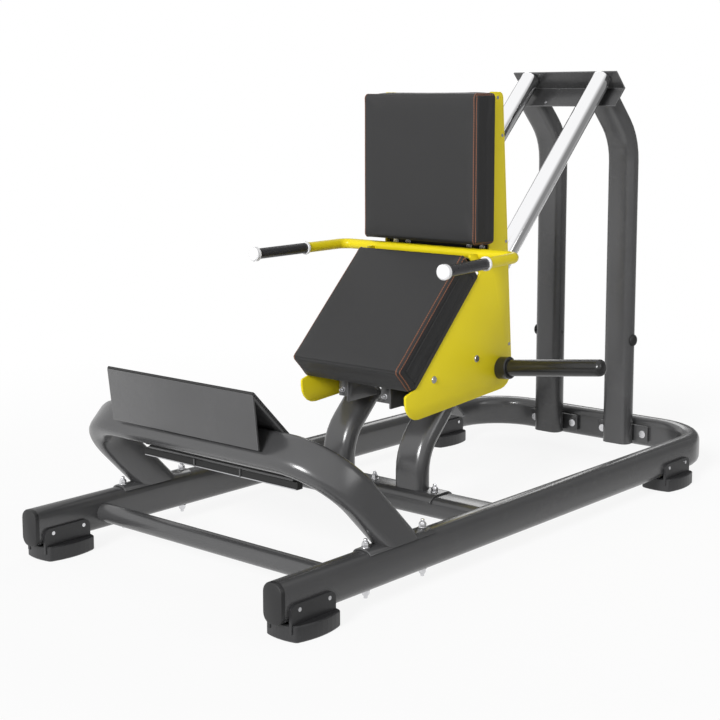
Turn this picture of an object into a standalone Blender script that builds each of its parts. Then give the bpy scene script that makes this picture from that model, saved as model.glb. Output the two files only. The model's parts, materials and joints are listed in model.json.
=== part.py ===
"""Plate-loaded calf raise machine: a base frame, an angled foot platform and a
seat carriage that slides on two inclined guide rods.

X runs across the machine, -Y is the foot end, +Z is up. Z = 0 is the floor.
"""
import math

import bmesh
import bpy
from mathutils import Matrix, Vector

# Clearances
fit = 0.0003              # gap left between pieces that are bolted or welded together
running = 0.0002          # gap between a guide rod and its bearing bore
side_gap = 0.001          # gap between the posts and the carriage side plates

# Flat-oval frame tube
tube_tall = 0.100
tube_thick = 0.060
tube_corner = 0.025

# Base frame
base_length = 2.103
rail_spacing = 0.900      # centre to centre
base_bend = 0.190         # centreline radius of the rear corners
cap_thick = 0.012
cap_edge = 0.004
front_bar_y = 0.231       # from the front of the machine
front_bar_diameter = 0.051
mid_bar_y = 0.8865        # from the front of the machine
saddle_thick = 0.005
mid_saddle_length = 0.490
mid_saddle_wrap = 4       # corner facets that the strap follows down

# Rubber feet
foot_height = 0.040
foot_width = 0.095
foot_length = 0.150
foot_inset = 0.0295       # from the front of the machine to the front foot
foot_before_bend = 0.019  # from the rear foot to the start of the corner bend
foot_corner = 0.005
foot_edge = 0.003
foot_bulge = 0.0125       # how far the long sides belly out
foot_end_bulge = 0.007
flange_thick = 0.008
flange_tall = 0.047       # above the underside of the rail
flange_shift = 0.006      # towards the foot end from the middle of the block
flange_corner = 0.018

# Platform arch, bent in a plane that leans 45 degrees towards the foot end
arch_lean = math.radians(45)
arch_foot_y = 0.434       # from the front of the machine, at the top of the rail
arch_rise = 0.334         # along the leaning plane, from rail top to the cross part
arch_bend = 0.150
arch_saddle_length = 0.250
arch_saddle_wrap = 3      # corner facets that the strap follows down

# Folded foot platform
platform_width = 0.534
platform_sheet = 0.006
platform_rise = 0.155     # along the foot panel, from the middle of the cross part to the ridge
platform_drop = 0.180     # along the foot panel, from the middle of the cross part to the shelf
front_panel_length = 0.140
front_panel_lean = math.radians(6.9)
shelf_depth = 0.1025
edge_bar = 0.020
rib_x = 0.085
rib_thick = 0.005

# Slide geometry
slide_angle = math.radians(45)
slide_foot_y = 0.6137     # where the rod axis would meet the underside of the rails
post_x = 0.1395
post_bend = 0.150
rod_diameter = 0.069
rod_start = 0.512         # measured along the slide from slide_foot_y
rod_length = 1.248
post_below = 0.0585       # from the axis of a rod down to the axis of its post
rod_plate_thick = 0.006
rod_plate_drop = 0.045    # how far the lower rod plate hangs below the posts
rod_plate_strip = 0.064   # depth of its strip between the posts
rod_plate_rim = 0.002     # how far the plate stands past the rods
rod_plate_corner = 0.008
stop_length = 0.052
stop_diameter = 0.082

# Tower
column_bottom = 0.055     # above the floor
column_bend = 0.180
column_setback = 0.012    # from the end face of the rods to the rear of the column
column_flange_thick = 0.012
column_flange_width = 0.194
column_flange_tall = 0.056
column_flange_z = 0.088   # centre, above the floor
plug_diameter = 0.040
plug_dome = 0.010
plug_z = 0.400            # centre, above the floor
angle_leg = 0.084
angle_thick = 0.005
angle_above = 0.0225      # from the axis of the rods to the upper edge of the first leg
angle_below = 0.050       # from the axis of the rods to the second leg
angle_length = 0.400

# Carriage side plates
plate_thick = 0.007
plate_bottom_front = 0.3335
plate_bottom_rise = math.radians(4.1)
plate_bottom_y = 0.825    # from the front of the machine
plate_over_back = 0.0056  # how far the plates stand above the back cushion
plate_top_depth = 0.048
plate_rear_lean = math.radians(4.1)
nose_behind_seat = 0.0436     # from the lower front edge of the seat to the front of the nose
nose_ramp = 0.017         # from the lower end of the seat to where the nose begins
nose_lean = math.radians(16.8)
nose_radius = 0.055
nose_blend = 0.012
nose_tip = 0.008
heel_radius = 0.058
lug_corner = 0.003
lug_rise = 0.002          # from the middle of the handlebar to the top of the lug
plate_top_corner = 0.018
seat_clear = 0.010        # between the upper end of the seat and the side plates

# Cushions
seat_width = 0.404
seat_length = 0.429
seat_thick = 0.087
seat_angle = math.radians(45)
seat_low_y = 0.741        # front lower edge, from the front of the machine
seat_low_z = 0.4783
seat_crown = 0.004
back_width = 0.430
back_height = 0.4315
back_thick = 0.089
back_behind_seat = 0.033  # from the top edge of the seat to the face of the back
back_above_seat = 0.017   # from the top edge of the seat to the bottom of the back
back_crown = 0.004
cushion_corner = 0.009
cushion_edge = 0.008
cushion_waist = 0.002     # how far the sides are drawn in
cushion_tuck = 0.004      # where the cover turns under at the board
board_thick = 0.012
seat_board_inset = 0.0125
back_board_inset = 0.006
board_corner = 0.015

# Bearings
housing_length = 0.100
housing_deep = 0.092
housing_start = 0.0004    # above the rubber stop at rest
housing_pitch = 0.222
housing_edge = 0.008

# Carriage cross members and seat brackets
cross_tube = 0.040
front_cross_y = 0.9085
front_cross_z = 0.438
rear_cross_along = 0.760
rear_cross_below = 0.082
bracket_x = 0.080
bracket_thick = 0.006
bracket_front_y = 0.858
bracket_depth = 0.132
bracket_bottom = 0.3455
bracket_rise = math.radians(1.3)

# Handlebar
handle_diameter = 0.031
handle_above_seat = 0.0513    # from the upper end of the seat, along its face
handle_behind_seat = 0.0635   # behind the face of the seat
handle_half = 0.325       # from the middle to the corner of the bend
handle_bend = 0.036
handle_reach = 0.361      # from the corner of the bend to the end of the tube
handle_splay = math.radians(3.8)
handle_pitch = math.radians(1.1)
lug_reach = 0.052         # how far the side plate reaches in front of the tube
grip_diameter = 0.0365
grip_length = 0.190
grip_ring_diameter = 0.040
grip_ring_length = 0.006
grip_cap_diameter = 0.042
grip_cap_length = 0.018

# Weight horns
horn_y = 1.229
horn_z = 0.4265           # where the horn's axis meets the side plate
horn_tilt = math.radians(6.8)
horn_diameter = 0.049
horn_length = 0.355
horn_nose = 0.016
collar_diameter = 0.066
collar_length = 0.036

steps_corner = 5
steps_bend = 10
facets = 32

X = Vector((1, 0, 0))
Y = Vector((0, 1, 0))
Z = Vector((0, 0, 1))

# Positions that follow from the sizes above
rail_x = rail_spacing / 2
rail_bottom = foot_height
rail_top = rail_bottom + tube_tall
rail_mid = rail_bottom + tube_tall / 2
rail_inner = rail_x - tube_thick / 2
mid_bar_top = rail_mid + tube_thick / 2


def from_front(distance):
    """Y of a point given by its distance from the front of the machine."""
    return distance - base_length / 2


along = Vector((0, math.cos(slide_angle), math.sin(slide_angle)))
above = Vector((0, -math.sin(slide_angle), math.cos(slide_angle)))
slide_origin = Vector((0, from_front(slide_foot_y), rail_bottom))


def on_slide(distance, height=0.0, x=0.0):
    """Point at a distance along the slide and a height square to it."""
    return slide_origin + along * distance + above * height + X * x


def clear_scene():
    for item in list(bpy.data.objects):
        bpy.data.objects.remove(item, do_unlink=True)
    for block in list(bpy.data.meshes):
        bpy.data.meshes.remove(block)


def make_material(name, color, roughness, metallic=0.0):
    material = bpy.data.materials.new(name)
    material.use_nodes = True
    shader = material.node_tree.nodes["Principled BSDF"]
    shader.inputs["Base Color"].default_value = (*color, 1.0)
    shader.inputs["Roughness"].default_value = roughness
    shader.inputs["Metallic"].default_value = metallic
    material.diffuse_color = (*color, 1.0)
    return material


paints = {
    "frame": ((0.13, 0.13, 0.135), 0.42, 0.35),
    "plate": ((0.66, 0.56, 0.02), 0.38, 0.0),
    "chrome": ((0.78, 0.78, 0.80), 0.10, 1.0),
    "cushion": ((0.030, 0.030, 0.032), 0.62, 0.0),
    "board": ((0.020, 0.020, 0.020), 0.70, 0.0),
    "rubber": ((0.028, 0.028, 0.030), 0.75, 0.0),
    "grip": ((0.035, 0.035, 0.038), 0.55, 0.0),
    "alloy": ((0.60, 0.60, 0.62), 0.30, 1.0),
    "cap": ((0.85, 0.85, 0.86), 0.35, 0.0),
    "horn": ((0.012, 0.012, 0.012), 0.30, 0.0),
}


def finish(name, bm, paint, crease=35):
    bmesh.ops.recalc_face_normals(bm, faces=bm.faces)
    if bm.calc_volume(signed=True) < 0:
        bmesh.ops.reverse_faces(bm, faces=bm.faces)
    mesh = bpy.data.meshes.new(name)
    bm.to_mesh(mesh)
    bm.free()
    item = bpy.data.objects.new(name, mesh)
    bpy.context.scene.collection.objects.link(item)
    color, roughness, metallic = paints[paint]
    mesh.materials.append(make_material(name, color, roughness, metallic))
    for face in mesh.polygons:
        face.use_smooth = True
    mesh.set_sharp_from_angle(angle=math.radians(crease))
    return item


def loft(name, rings, paint, looped=False, crease=35):
    """Skin a row of rings; the ends are capped unless the row is looped."""
    bm = bmesh.new()
    rows = [[bm.verts.new(point) for point in ring] for ring in rings]
    pairs = list(zip(rows, rows[1:]))
    if looped:
        pairs.append((rows[-1], rows[0]))
    for first, second in pairs:
        count = len(first)
        for i in range(count):
            j = (i + 1) % count
            bm.faces.new((first[i], first[j], second[j], second[i]))
    if not looped:
        bm.faces.new(rows[0])
        bm.faces.new(rows[-1])
    return finish(name, bm, paint, crease)


def rounded(points):
    """Outline with rounded corners from (u, v, radius) triples."""
    outline = []
    count = len(points)
    for i, (u, v, radius) in enumerate(points):
        corner = Vector((u, v))
        if radius <= 0:
            outline.append(corner)
            continue
        before = (Vector(points[i - 1][:2]) - corner).normalized()
        after = (Vector(points[(i + 1) % count][:2]) - corner).normalized()
        half = before.angle(after) / 2
        centre = corner + (before + after).normalized() * (radius / math.sin(half))
        start = corner + before * (radius / math.tan(half)) - centre
        sweep = start.angle_signed(corner + after * (radius / math.tan(half)) - centre)
        steps = max(2, round(abs(sweep) / math.radians(90) * steps_corner))
        for k in range(steps + 1):
            turn = Matrix.Rotation(-sweep * k / steps, 2)
            outline.append(centre + turn @ start)
    return outline


def box_outline(width, height, radius):
    a, b = width / 2, height / 2
    return rounded([(-a, -b, radius), (a, -b, radius), (a, b, radius), (-a, b, radius)])


def extrude(name, outline, origin, u, v, depth, paint, edge=0.0, crease=35):
    """Push a closed outline through depth along u x v, with a chamfer if edge is set."""
    n = u.cross(v)
    rings = []
    levels = [(0.0, 0.0), (depth, 0.0)]
    if edge > 0:
        levels = [(0.0, edge), (edge, 0.0), (depth - edge, 0.0), (depth, edge)]
    span = max(point.length for point in outline)
    for distance, inset in levels:
        scale = 1 - inset / span
        rings.append([origin + u * p.x * scale + v * p.y * scale + n * distance for p in outline])
    return loft(name, rings, paint, crease=crease)


def capped_outline(outline, origin, u, v, levels, paint, name):
    """Stack scaled copies of an outline; levels are (distance, inset) pairs."""
    n = u.cross(v)
    rings = []
    for distance, inset in levels:
        ring = []
        for p in outline:
            q = p - p.normalized() * inset
            ring.append(origin + u * q.x + v * q.y + n * distance)
        rings.append(ring)
    return loft(name, rings, paint)


def turned(name, origin, axis, profile, paint, side=None, looped=False, crease=35):
    """Revolve (distance, radius) pairs about an axis."""
    axis = axis.normalized()
    side = (side or X).normalized()
    side = (side - axis * side.dot(axis)).normalized()
    other = axis.cross(side)
    rings = []
    for distance, radius in profile:
        ring = []
        for k in range(facets):
            turn = 2 * math.pi * k / facets
            spoke = side * math.cos(turn) + other * math.sin(turn)
            ring.append(origin + axis * distance + spoke * radius)
        rings.append(ring)
    return loft(name, rings, paint, looped, crease)


def bend_path(corners, radius):
    """Points and tangents of a path whose inner corners are arcs."""
    path = [(corners[0], (corners[1] - corners[0]).normalized())]
    for i in range(1, len(corners) - 1):
        arriving = (corners[i] - corners[i - 1]).normalized()
        leaving = (corners[i + 1] - corners[i]).normalized()
        turn = arriving.angle(leaving)
        normal = arriving.cross(leaving).normalized()
        start = corners[i] - arriving * (radius * math.tan(turn / 2))
        centre = start + normal.cross(arriving) * radius
        steps = max(3, round(turn / math.radians(90) * steps_bend))
        for k in range(steps + 1):
            rotate = Matrix.Rotation(turn * k / steps, 3, normal)
            path.append((centre + rotate @ (start - centre), rotate @ arriving))
    path.append((corners[-1], (corners[-1] - corners[-2]).normalized()))
    return path


def sweep(name, path, profile, normal, paint, start_cut=None, end_cut=None, crease=35):
    """Carry a profile along a path in the plane square to normal.

    Profile u runs along normal and v across the path. A cut is a (point,
    normal) plane that the end of the tube is trimmed to.
    """
    rings = []
    for point, tangent in path:
        across = normal.cross(tangent)
        rings.append([point + normal * p.x + across * p.y for p in profile])
    for index, cut in ((0, start_cut), (-1, end_cut)):
        if cut is None:
            continue
        tangent = path[index][1]
        place, facing = cut
        rings[index] = [
            p + tangent * ((place - p).dot(facing) / tangent.dot(facing)) for p in rings[index]
        ]
    return loft(name, rings, paint, crease=crease)


def combine(item, other, operation):
    """Apply an exact Boolean of another solid to an item and drop that solid."""
    other.hide_render = True
    other.display_type = "WIRE"
    boolean = item.modifiers.new(operation.lower(), "BOOLEAN")
    boolean.operation = operation
    boolean.solver = "EXACT"
    boolean.object = other
    bpy.context.view_layer.objects.active = item
    bpy.ops.object.modifier_apply(modifier=boolean.name)
    bpy.data.objects.remove(other, do_unlink=True)
    return item


def mirror_copy(item, name):
    """A second piece on the other side of the machine."""
    bm = bmesh.new()
    bm.from_mesh(item.data)
    bmesh.ops.scale(bm, vec=(-1, 1, 1), verts=bm.verts)
    bmesh.ops.reverse_faces(bm, faces=bm.faces)
    mesh = bpy.data.meshes.new(name)
    bm.to_mesh(mesh)
    bm.free()
    material = item.data.materials[0].copy()
    material.name = name
    mesh.materials.append(material)
    twin = bpy.data.objects.new(name, mesh)
    bpy.context.scene.collection.objects.link(twin)
    return twin


def both_sides(item, stem):
    item.name = stem + "_right"
    item.data.name = item.name
    item.data.materials[0].name = item.name
    return [item, mirror_copy(item, stem + "_left")]


clear_scene()

flat_oval = box_outline(tube_tall, tube_thick, tube_corner)

# Base frame: one tube bent round the rear, open at the foot end
rear_mid_y = from_front(base_length - tube_thick / 2)
rail_start_y = from_front(cap_thick + fit)
base_corners = [
    Vector((rail_x, rail_start_y, rail_mid)),
    Vector((rail_x, rear_mid_y, rail_mid)),
    Vector((-rail_x, rear_mid_y, rail_mid)),
    Vector((-rail_x, rail_start_y, rail_mid)),
]
base_tube = sweep("base_tube", bend_path(base_corners, base_bend), flat_oval, Z, "frame")

cap_outline = box_outline(tube_thick, tube_tall, tube_corner)
cap_levels = [
    (0.0, 0.0), (cap_thick - cap_edge, 0.0), (cap_thick - cap_edge * 0.3, cap_edge * 0.35),
    (cap_thick, cap_edge),
]
rail_cap = capped_outline(
    cap_outline, Vector((rail_x, from_front(cap_thick), rail_mid)), X, Z, cap_levels,
    "rubber", "rail_cap",
)
both_sides(rail_cap, "rail_cap")

# Cross bars between the rails
bar_reach = rail_inner - fit
bar_length = rail_spacing - tube_thick - 2 * fit
front_cross_tube = turned(
    "front_cross_tube", Vector((-bar_reach, from_front(front_bar_y), rail_mid)), X,
    [(0, front_bar_diameter / 2), (bar_length, front_bar_diameter / 2)], "frame", side=Y,
)
mid_y = from_front(mid_bar_y)
mid_cross_tube = extrude(
    "mid_cross_tube", flat_oval, Vector((-bar_reach, mid_y, rail_mid)), Y, Z, bar_length,
    "frame",
)


def saddle_outline(width, height, corner, thick, wrap):
    """Strap over the top of a tube: u across the tube, v up from its middle.

    Wrap counts the facets of each rounded corner that the strap follows down.
    """
    outline = []
    for side, radius in ((1, corner + fit + thick), (-1, corner + fit)):
        for half in (side, -side):
            centre = Vector((half * (width / 2 - corner), height / 2 - corner))
            for k in range(wrap + 1):
                count = wrap - k if half == side else k
                turn = math.radians(90) * count / steps_corner
                spoke = Vector((half * math.sin(turn), math.cos(turn)))
                outline.append(centre + spoke * radius)
    return outline


mid_saddle = extrude(
    "mid_saddle", saddle_outline(tube_tall, tube_thick, tube_corner, saddle_thick, mid_saddle_wrap),
    Vector((-mid_saddle_length / 2, mid_y, rail_mid)), Y, Z, mid_saddle_length, "frame",
)
arch_y = from_front(arch_foot_y)
arch_saddle = extrude(
    "arch_saddle",
    saddle_outline(tube_thick, tube_tall, tube_corner, saddle_thick, arch_saddle_wrap),
    Vector((rail_x, arch_y + arch_saddle_length / 2, rail_mid)), X, Z, arch_saddle_length, "frame",
)
both_sides(arch_saddle, "arch_saddle")

# Feet: a barrel-sided rubber block with two flanges that hug the rail


def barrel_outline(width, length, side_bulge, end_bulge, corner):
    """Rectangle whose four sides belly outwards in shallow arcs."""
    base = box_outline(width, length, corner)
    outline = []
    for i, p in enumerate(base):
        q = base[(i + 1) % len(base)]
        cuts = 8 if (q - p).length > 2 * corner + 0.01 else 1
        outline += [p.lerp(q, k / cuts) for k in range(cuts)]
    return [
        Vector((
            p.x + math.copysign(side_bulge, p.x) * (1 - (2 * p.y / length) ** 2) * abs(2 * p.x / width),
            p.y + math.copysign(end_bulge, p.y) * (1 - (2 * p.x / width) ** 2) * abs(2 * p.y / length),
        ))
        for p in outline
    ]


def make_foot(name, start_y):
    middle = Vector((rail_x, start_y + foot_length / 2, 0))
    block = extrude(
        name,
        barrel_outline(foot_width, foot_length, foot_bulge, foot_end_bulge, foot_corner),
        middle, X, Y, foot_height - fit, "rubber", edge=foot_edge,
    )
    inner = tube_thick / 2 + fit
    base = foot_height / 2
    reach = flange_tall + base
    for side in (1, -1):
        cheek = rounded([
            (-foot_length / 2, 0, 0), (foot_length / 2, 0, 0),
            (foot_length / 2, reach, flange_corner), (-foot_length / 2, reach, flange_corner),
        ])
        start = inner if side > 0 else -inner - flange_thick
        plate = extrude(
            "cheek", cheek, middle + X * start - Y * flange_shift + Z * base, Y, Z, flange_thick, "rubber",
        )
        combine(block, plate, "UNION")
    return block


rear_foot = base_length - tube_thick / 2 - base_bend - foot_before_bend - foot_length
both_sides(make_foot("foot", from_front(foot_inset)), "foot_front")
both_sides(make_foot("foot", from_front(rear_foot)), "foot_rear")

# Platform arch
lean_up = Vector((0, -math.sin(arch_lean), math.cos(arch_lean)))
lean_out = Vector((0, math.cos(arch_lean), math.sin(arch_lean)))
arch_base = Vector((0, arch_y, rail_top)) - lean_up * tube_corner
arch_top = Vector((0, arch_y, rail_top)) + lean_up * arch_rise
arch_corners = [
    arch_base + X * rail_x, arch_top + X * rail_x, arch_top - X * rail_x, arch_base - X * rail_x,
]
level = (arch_base, Z)
platform_arch = sweep(
    "platform_arch", bend_path(arch_corners, arch_bend), flat_oval, lean_out, "frame",
    start_cut=level, end_cut=level,
)
for side in (1, -1):
    wrap = saddle_thick + 2 * fit
    cope = extrude(
        "cope", box_outline(tube_thick + 2 * wrap, tube_tall + 2 * wrap, tube_corner + wrap),
        Vector((side * rail_x, arch_y + arch_saddle_length, rail_mid)), X, Z,
        2 * arch_saddle_length, "frame",
    )
    combine(platform_arch, cope, "DIFFERENCE")

# Folded foot platform: u runs up the foot panel and v out towards the sitter
panel_face = tube_tall / 2 + fit + platform_sheet


def on_platform(u, v, x=0.0):
    return arch_top + lean_up * u + lean_out * v + X * x


ridge = (platform_rise, panel_face)
down_front = Vector((0, math.sin(front_panel_lean), -math.cos(front_panel_lean)))
front_edge = on_platform(*ridge) + down_front * front_panel_length
shelf_edge = on_platform(-platform_drop, panel_face)
shelf_end = shelf_edge - Y * shelf_depth


def flat_yz(point):
    return Vector((point.y, point.z))


def offset_line(points, distance):
    """Open row of (y, z) points moved sideways by a distance, corners mitred."""
    moved = []
    for i, point in enumerate(points):
        sides = []
        if i > 0:
            d = (point - points[i - 1]).normalized()
            sides.append(Vector((-d.y, d.x)))
        if i < len(points) - 1:
            d = (points[i + 1] - point).normalized()
            sides.append(Vector((-d.y, d.x)))
        if len(sides) == 1:
            moved.append(point + sides[0] * distance)
        else:
            mean = (sides[0] + sides[1]).normalized()
            moved.append(point + mean * (distance / mean.dot(sides[0])))
    return moved


sheet_outer = [flat_yz(p) for p in (front_edge, on_platform(*ridge), shelf_edge, shelf_end)]
sheet_inner = offset_line(sheet_outer, -platform_sheet)
foot_plate = extrude(
    "foot_plate", sheet_outer + sheet_inner[::-1], Vector((-platform_width / 2, 0, 0)), Y, Z,
    platform_width, "frame",
)

# Square bar under the front of the shelf
bar_top = shelf_end.z - fit
platform_bar = extrude(
    "platform_bar", box_outline(edge_bar, edge_bar, 0.003),
    Vector((-platform_width / 2, shelf_end.y + edge_bar / 2, bar_top - edge_bar / 2)), Y, Z,
    platform_width, "horn",
)

# Ribs: one pair inside the fold above the arch, one pair below it
ribs_clear = offset_line(sheet_outer, -platform_sheet - fit)
cross_centre = flat_yz(arch_top)
lean_u = flat_yz(lean_up)
lean_v = flat_yz(lean_out)


def tube_point(u, v):
    return cross_centre + lean_u * u + lean_v * v


half_u = tube_thick / 2 + fit


def cross_lines(p, d, q, e):
    """Where the line p + d meets the line q + e."""
    t = ((q.x - p.x) * e.y - (q.y - p.y) * e.x) / (d.x * e.y - d.y * e.x)
    return p + d * t


rib_low_outline = [
    tube_point(-half_u, -tube_tall / 2 + tube_corner),
    Vector((ribs_clear[3].x + fit, ribs_clear[3].y)),
    ribs_clear[2],
    cross_lines(ribs_clear[1], ribs_clear[2] - ribs_clear[1],
                tube_point(-half_u, 0), lean_v),
]
low_rib_solid = extrude(
    "platform_rib", rib_low_outline, Vector((rib_x - rib_thick / 2, 0, 0)), Y, Z, rib_thick, "frame",
)
both_sides(low_rib_solid, "platform_rib")

web_top = ribs_clear[1]
web_front = ribs_clear[0] + (ribs_clear[1] - ribs_clear[0]) * 0.05
web_outline = [
    web_top,
    web_front,
    tube_point(half_u, -tube_tall / 2 + tube_corner),
    cross_lines(ribs_clear[1], ribs_clear[2] - ribs_clear[1], tube_point(half_u, 0), lean_v),
]
web = extrude(
    "platform_web", web_outline, Vector((rib_x - rib_thick / 2, 0, 0)), Y, Z, rib_thick, "frame",
)
both_sides(web, "platform_web")

# Posts that carry the lower ends of the guide rods
rod_radius = rod_diameter / 2
post_seat = mid_bar_top + fit + saddle_thick + fit
post_start = Vector((post_x, mid_y, post_seat))
reach_to_line = on_slide(0, -post_below)
climb = (mid_y - reach_to_line.y) / along.y
post_corner = on_slide(climb, -post_below, post_x)
post_end = on_slide(rod_start - rod_plate_thick - fit, -post_below, post_x)
post_path = bend_path([post_start, post_corner, post_end], post_bend)
post_profile = box_outline(tube_tall, tube_thick, tube_corner)
rod_post = sweep("rod_post", post_path, post_profile, X, "frame")
both_sides(rod_post, "rod_post")

# Plate across both posts that takes the lower ends of the rods, open between them
plate_low = -post_below - tube_thick / 2 - rod_plate_drop
plate_high = rod_radius + rod_plate_rim
plate_side = post_x + tube_tall / 2
notch_side = post_x - tube_tall / 2
notch_low = plate_low + rod_plate_strip
rod_plate = extrude(
    "rod_plate", rounded([
        (-plate_side, plate_low, rod_plate_corner), (plate_side, plate_low, rod_plate_corner),
        (plate_side, plate_high, rod_plate_corner), (notch_side, plate_high, rod_plate_corner),
        (notch_side, notch_low, rod_plate_corner), (-notch_side, notch_low, rod_plate_corner),
        (-notch_side, plate_high, rod_plate_corner), (-plate_side, plate_high, rod_plate_corner),
    ]),
    on_slide(rod_start), X, above, rod_plate_thick, "frame",
)

# Guide rods and the rubber stops round their lower ends
guide_rod = turned(
    "guide_rod", on_slide(rod_start + fit, 0, post_x), along,
    [(0, rod_radius), (rod_length - 2 * fit, rod_radius)], "chrome",
)
both_sides(guide_rod, "guide_rod")
stop_bore = rod_radius + fit
rubber_stop = turned(
    "rubber_stop", on_slide(rod_start + fit, 0, post_x), along,
    [(0, stop_bore), (0, stop_diameter / 2), (stop_length, stop_diameter / 2),
     (stop_length, stop_bore)], "rubber", looped=True,
)
both_sides(rubber_stop, "rubber_stop")

# Tower columns: upright, then bent forward square to the rods
rod_end = rod_start + rod_length
rear_inner_y = from_front(base_length - tube_thick)
column_y = rear_inner_y - fit - column_flange_thick - fit - tube_thick / 2
column_along = rod_end - column_setback - tube_thick / 2
column_top = on_slide(column_along, -angle_below - angle_thick - fit, post_x)
column_rise = (on_slide(column_along).y - column_y) / above.y
column_corner = on_slide(column_along, 0, post_x) - above * column_rise
column_path = bend_path(
    [Vector((post_x, column_y, column_bottom)), column_corner, column_top], column_bend,
)
tower_column = sweep("tower_column", column_path, post_profile, X, "frame")
both_sides(tower_column, "tower_column")

# Domed plugs in the sides of the columns
for stem, side in (("column_plug_outer", 1), ("column_plug_inner", -1)):
    plug = turned(
        stem, Vector((post_x + side * (tube_tall / 2 + fit), column_y, plug_z)), X * side,
        [(0, plug_diameter / 2), (plug_dome * 0.35, plug_diameter * 0.49),
         (plug_dome * 0.7, plug_diameter * 0.42), (plug_dome * 0.92, plug_diameter * 0.27),
         (plug_dome, plug_diameter * 0.10)], "horn", side=Y,
    )
    both_sides(plug, stem)

column_flange = extrude(
    "column_flange", box_outline(column_flange_width, column_flange_tall, 0.006),
    Vector((post_x, rear_inner_y - fit, column_flange_z)), X, Z, column_flange_thick, "frame",
)
both_sides(column_flange, "column_flange")

# Angle across the top: one leg takes the rods, the other lies on the columns
inner_u = rod_end
outer_u = rod_end + angle_thick
angle_outline = [
    Vector((outer_u, -angle_below - angle_thick)), Vector((outer_u, angle_above)),
    Vector((inner_u, angle_above)), Vector((inner_u, -angle_below)),
    Vector((outer_u - angle_leg, -angle_below)), Vector((outer_u - angle_leg, -angle_below - angle_thick)),
]
top_bracket = extrude(
    "top_bracket", angle_outline, slide_origin - X * angle_length / 2, along, above, angle_length,
    "frame",
)

# Carriage side plates. Outlines are (y, z) points.
plate_inner = post_x + tube_tall / 2 + side_gap
plate_outer = plate_inner + plate_thick
seat_dir = Vector((math.cos(seat_angle), math.sin(seat_angle)))
seat_out = Vector((-math.sin(seat_angle), math.cos(seat_angle)))
seat_corner = Vector((from_front(seat_low_y), seat_low_z))


def on_seat(length, depth):
    """Point (y, z) at a length up the cushion and a depth behind its face."""
    return seat_corner + seat_dir * length - seat_out * depth


board_back = seat_thick + fit + board_thick + fit
seat_top = on_seat(seat_length, 0)
back_face = seat_top.x + back_behind_seat
back_low = seat_top.y + back_above_seat
back_rear = back_face + back_thick + fit + board_thick + fit
handle_mid = on_seat(seat_length + handle_above_seat, handle_behind_seat)
plate_top = back_low + back_height + plate_over_back
bottom_point = Vector((from_front(plate_bottom_y), plate_bottom_front))
bottom_dir = Vector((math.cos(plate_bottom_rise), math.sin(plate_bottom_rise)))
rear_top = Vector((back_rear + plate_top_depth, plate_top))
rear_dir = Vector((math.sin(plate_rear_lean), -math.cos(plate_rear_lean)))
heel = cross_lines(rear_top, rear_dir, bottom_point, bottom_dir)
nose_front = Vector((seat_corner.x + nose_behind_seat, 0))
upright = Vector((0, 1))
nose = cross_lines(nose_front, upright, bottom_point, bottom_dir)
nose_step = on_seat(nose_ramp, board_back)
ramp_dir = Vector((math.cos(nose_lean), math.sin(nose_lean)))
nose_top = cross_lines(nose_front, upright, nose_step, ramp_dir)
seat_end = on_seat(seat_length + seat_clear, board_back)
lug_front = handle_mid.x - lug_reach
lug = cross_lines(seat_end, seat_out, Vector((lug_front, 0)), upright)
lug_top = handle_mid.y + lug_rise
plate_outline = rounded([
    (back_rear, plate_top, 2 * lug_corner), (back_rear, lug_top, lug_corner),
    (lug.x, lug_top, lug_corner), (lug.x, lug.y, lug_corner), (seat_end.x, seat_end.y, 0),
    (nose_step.x, nose_step.y, nose_blend), (nose_top.x, nose_top.y, nose_tip), (nose.x, nose.y, nose_radius),
    (heel.x, heel.y, heel_radius), (rear_top.x, rear_top.y, plate_top_corner),
])
side_plate = extrude(
    "side_plate", plate_outline, Vector((plate_inner, 0, 0)), Y, Z, plate_thick, "plate",
)
handle_radius = handle_diameter / 2
handle_centre = Vector((0, handle_mid.x, handle_mid.y))
handle_hole = turned(
    "hole", handle_centre + X * (plate_inner - 0.01), X,
    [(0, handle_radius + fit), (plate_thick + 0.02, handle_radius + fit)], "plate", side=Y,
)
combine(side_plate, handle_hole, "DIFFERENCE")
both_sides(side_plate, "side_plate")

# Bearing housings on the rods, bolted to the inner faces of the side plates
housing_outer = plate_inner - fit - post_x
housing_inner = -housing_outer
housing_first = rod_start + fit + stop_length + housing_start
for stem, offset in (("bearing_lower", 0.0), ("bearing_upper", housing_pitch)):
    housing = extrude(
        stem, rounded([
            (-housing_deep / 2, housing_inner, housing_edge), (housing_deep / 2, housing_inner, housing_edge),
            (housing_deep / 2, housing_outer, 0), (-housing_deep / 2, housing_outer, 0),
        ]),
        on_slide(housing_first + offset, 0, post_x), above, X, housing_length, "alloy",
    )
    bore = turned(
        "bore", on_slide(housing_first + offset - 0.01, 0, post_x), along,
        [(0, rod_radius + running), (housing_length + 0.02, rod_radius + running)], "alloy",
    )
    combine(housing, bore, "DIFFERENCE")
    both_sides(housing, stem)

# Cross tubes between the side plates
cross_reach = plate_inner - fit
cross_outline = box_outline(cross_tube, cross_tube, 0.005)
front_cross = Vector((-cross_reach, from_front(front_cross_y), front_cross_z))
carriage_tube_front = extrude(
    "carriage_tube_front", cross_outline, front_cross, Y, Z, 2 * cross_reach, "frame",
)
rear_cross = on_slide(rear_cross_along, -rear_cross_below, -cross_reach)
carriage_tube_rear = extrude(
    "carriage_tube_rear", cross_outline, rear_cross, Y, Z, 2 * cross_reach, "frame",
)

# Seat brackets hang from the seat board and ride on the front cross tube
bracket_front = from_front(bracket_front_y)
bracket_rear = bracket_front + bracket_depth
board_under = on_seat(0, board_back)


def under_board(y):
    return cross_lines(board_under, seat_dir, Vector((y, 0)), upright).y


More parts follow.
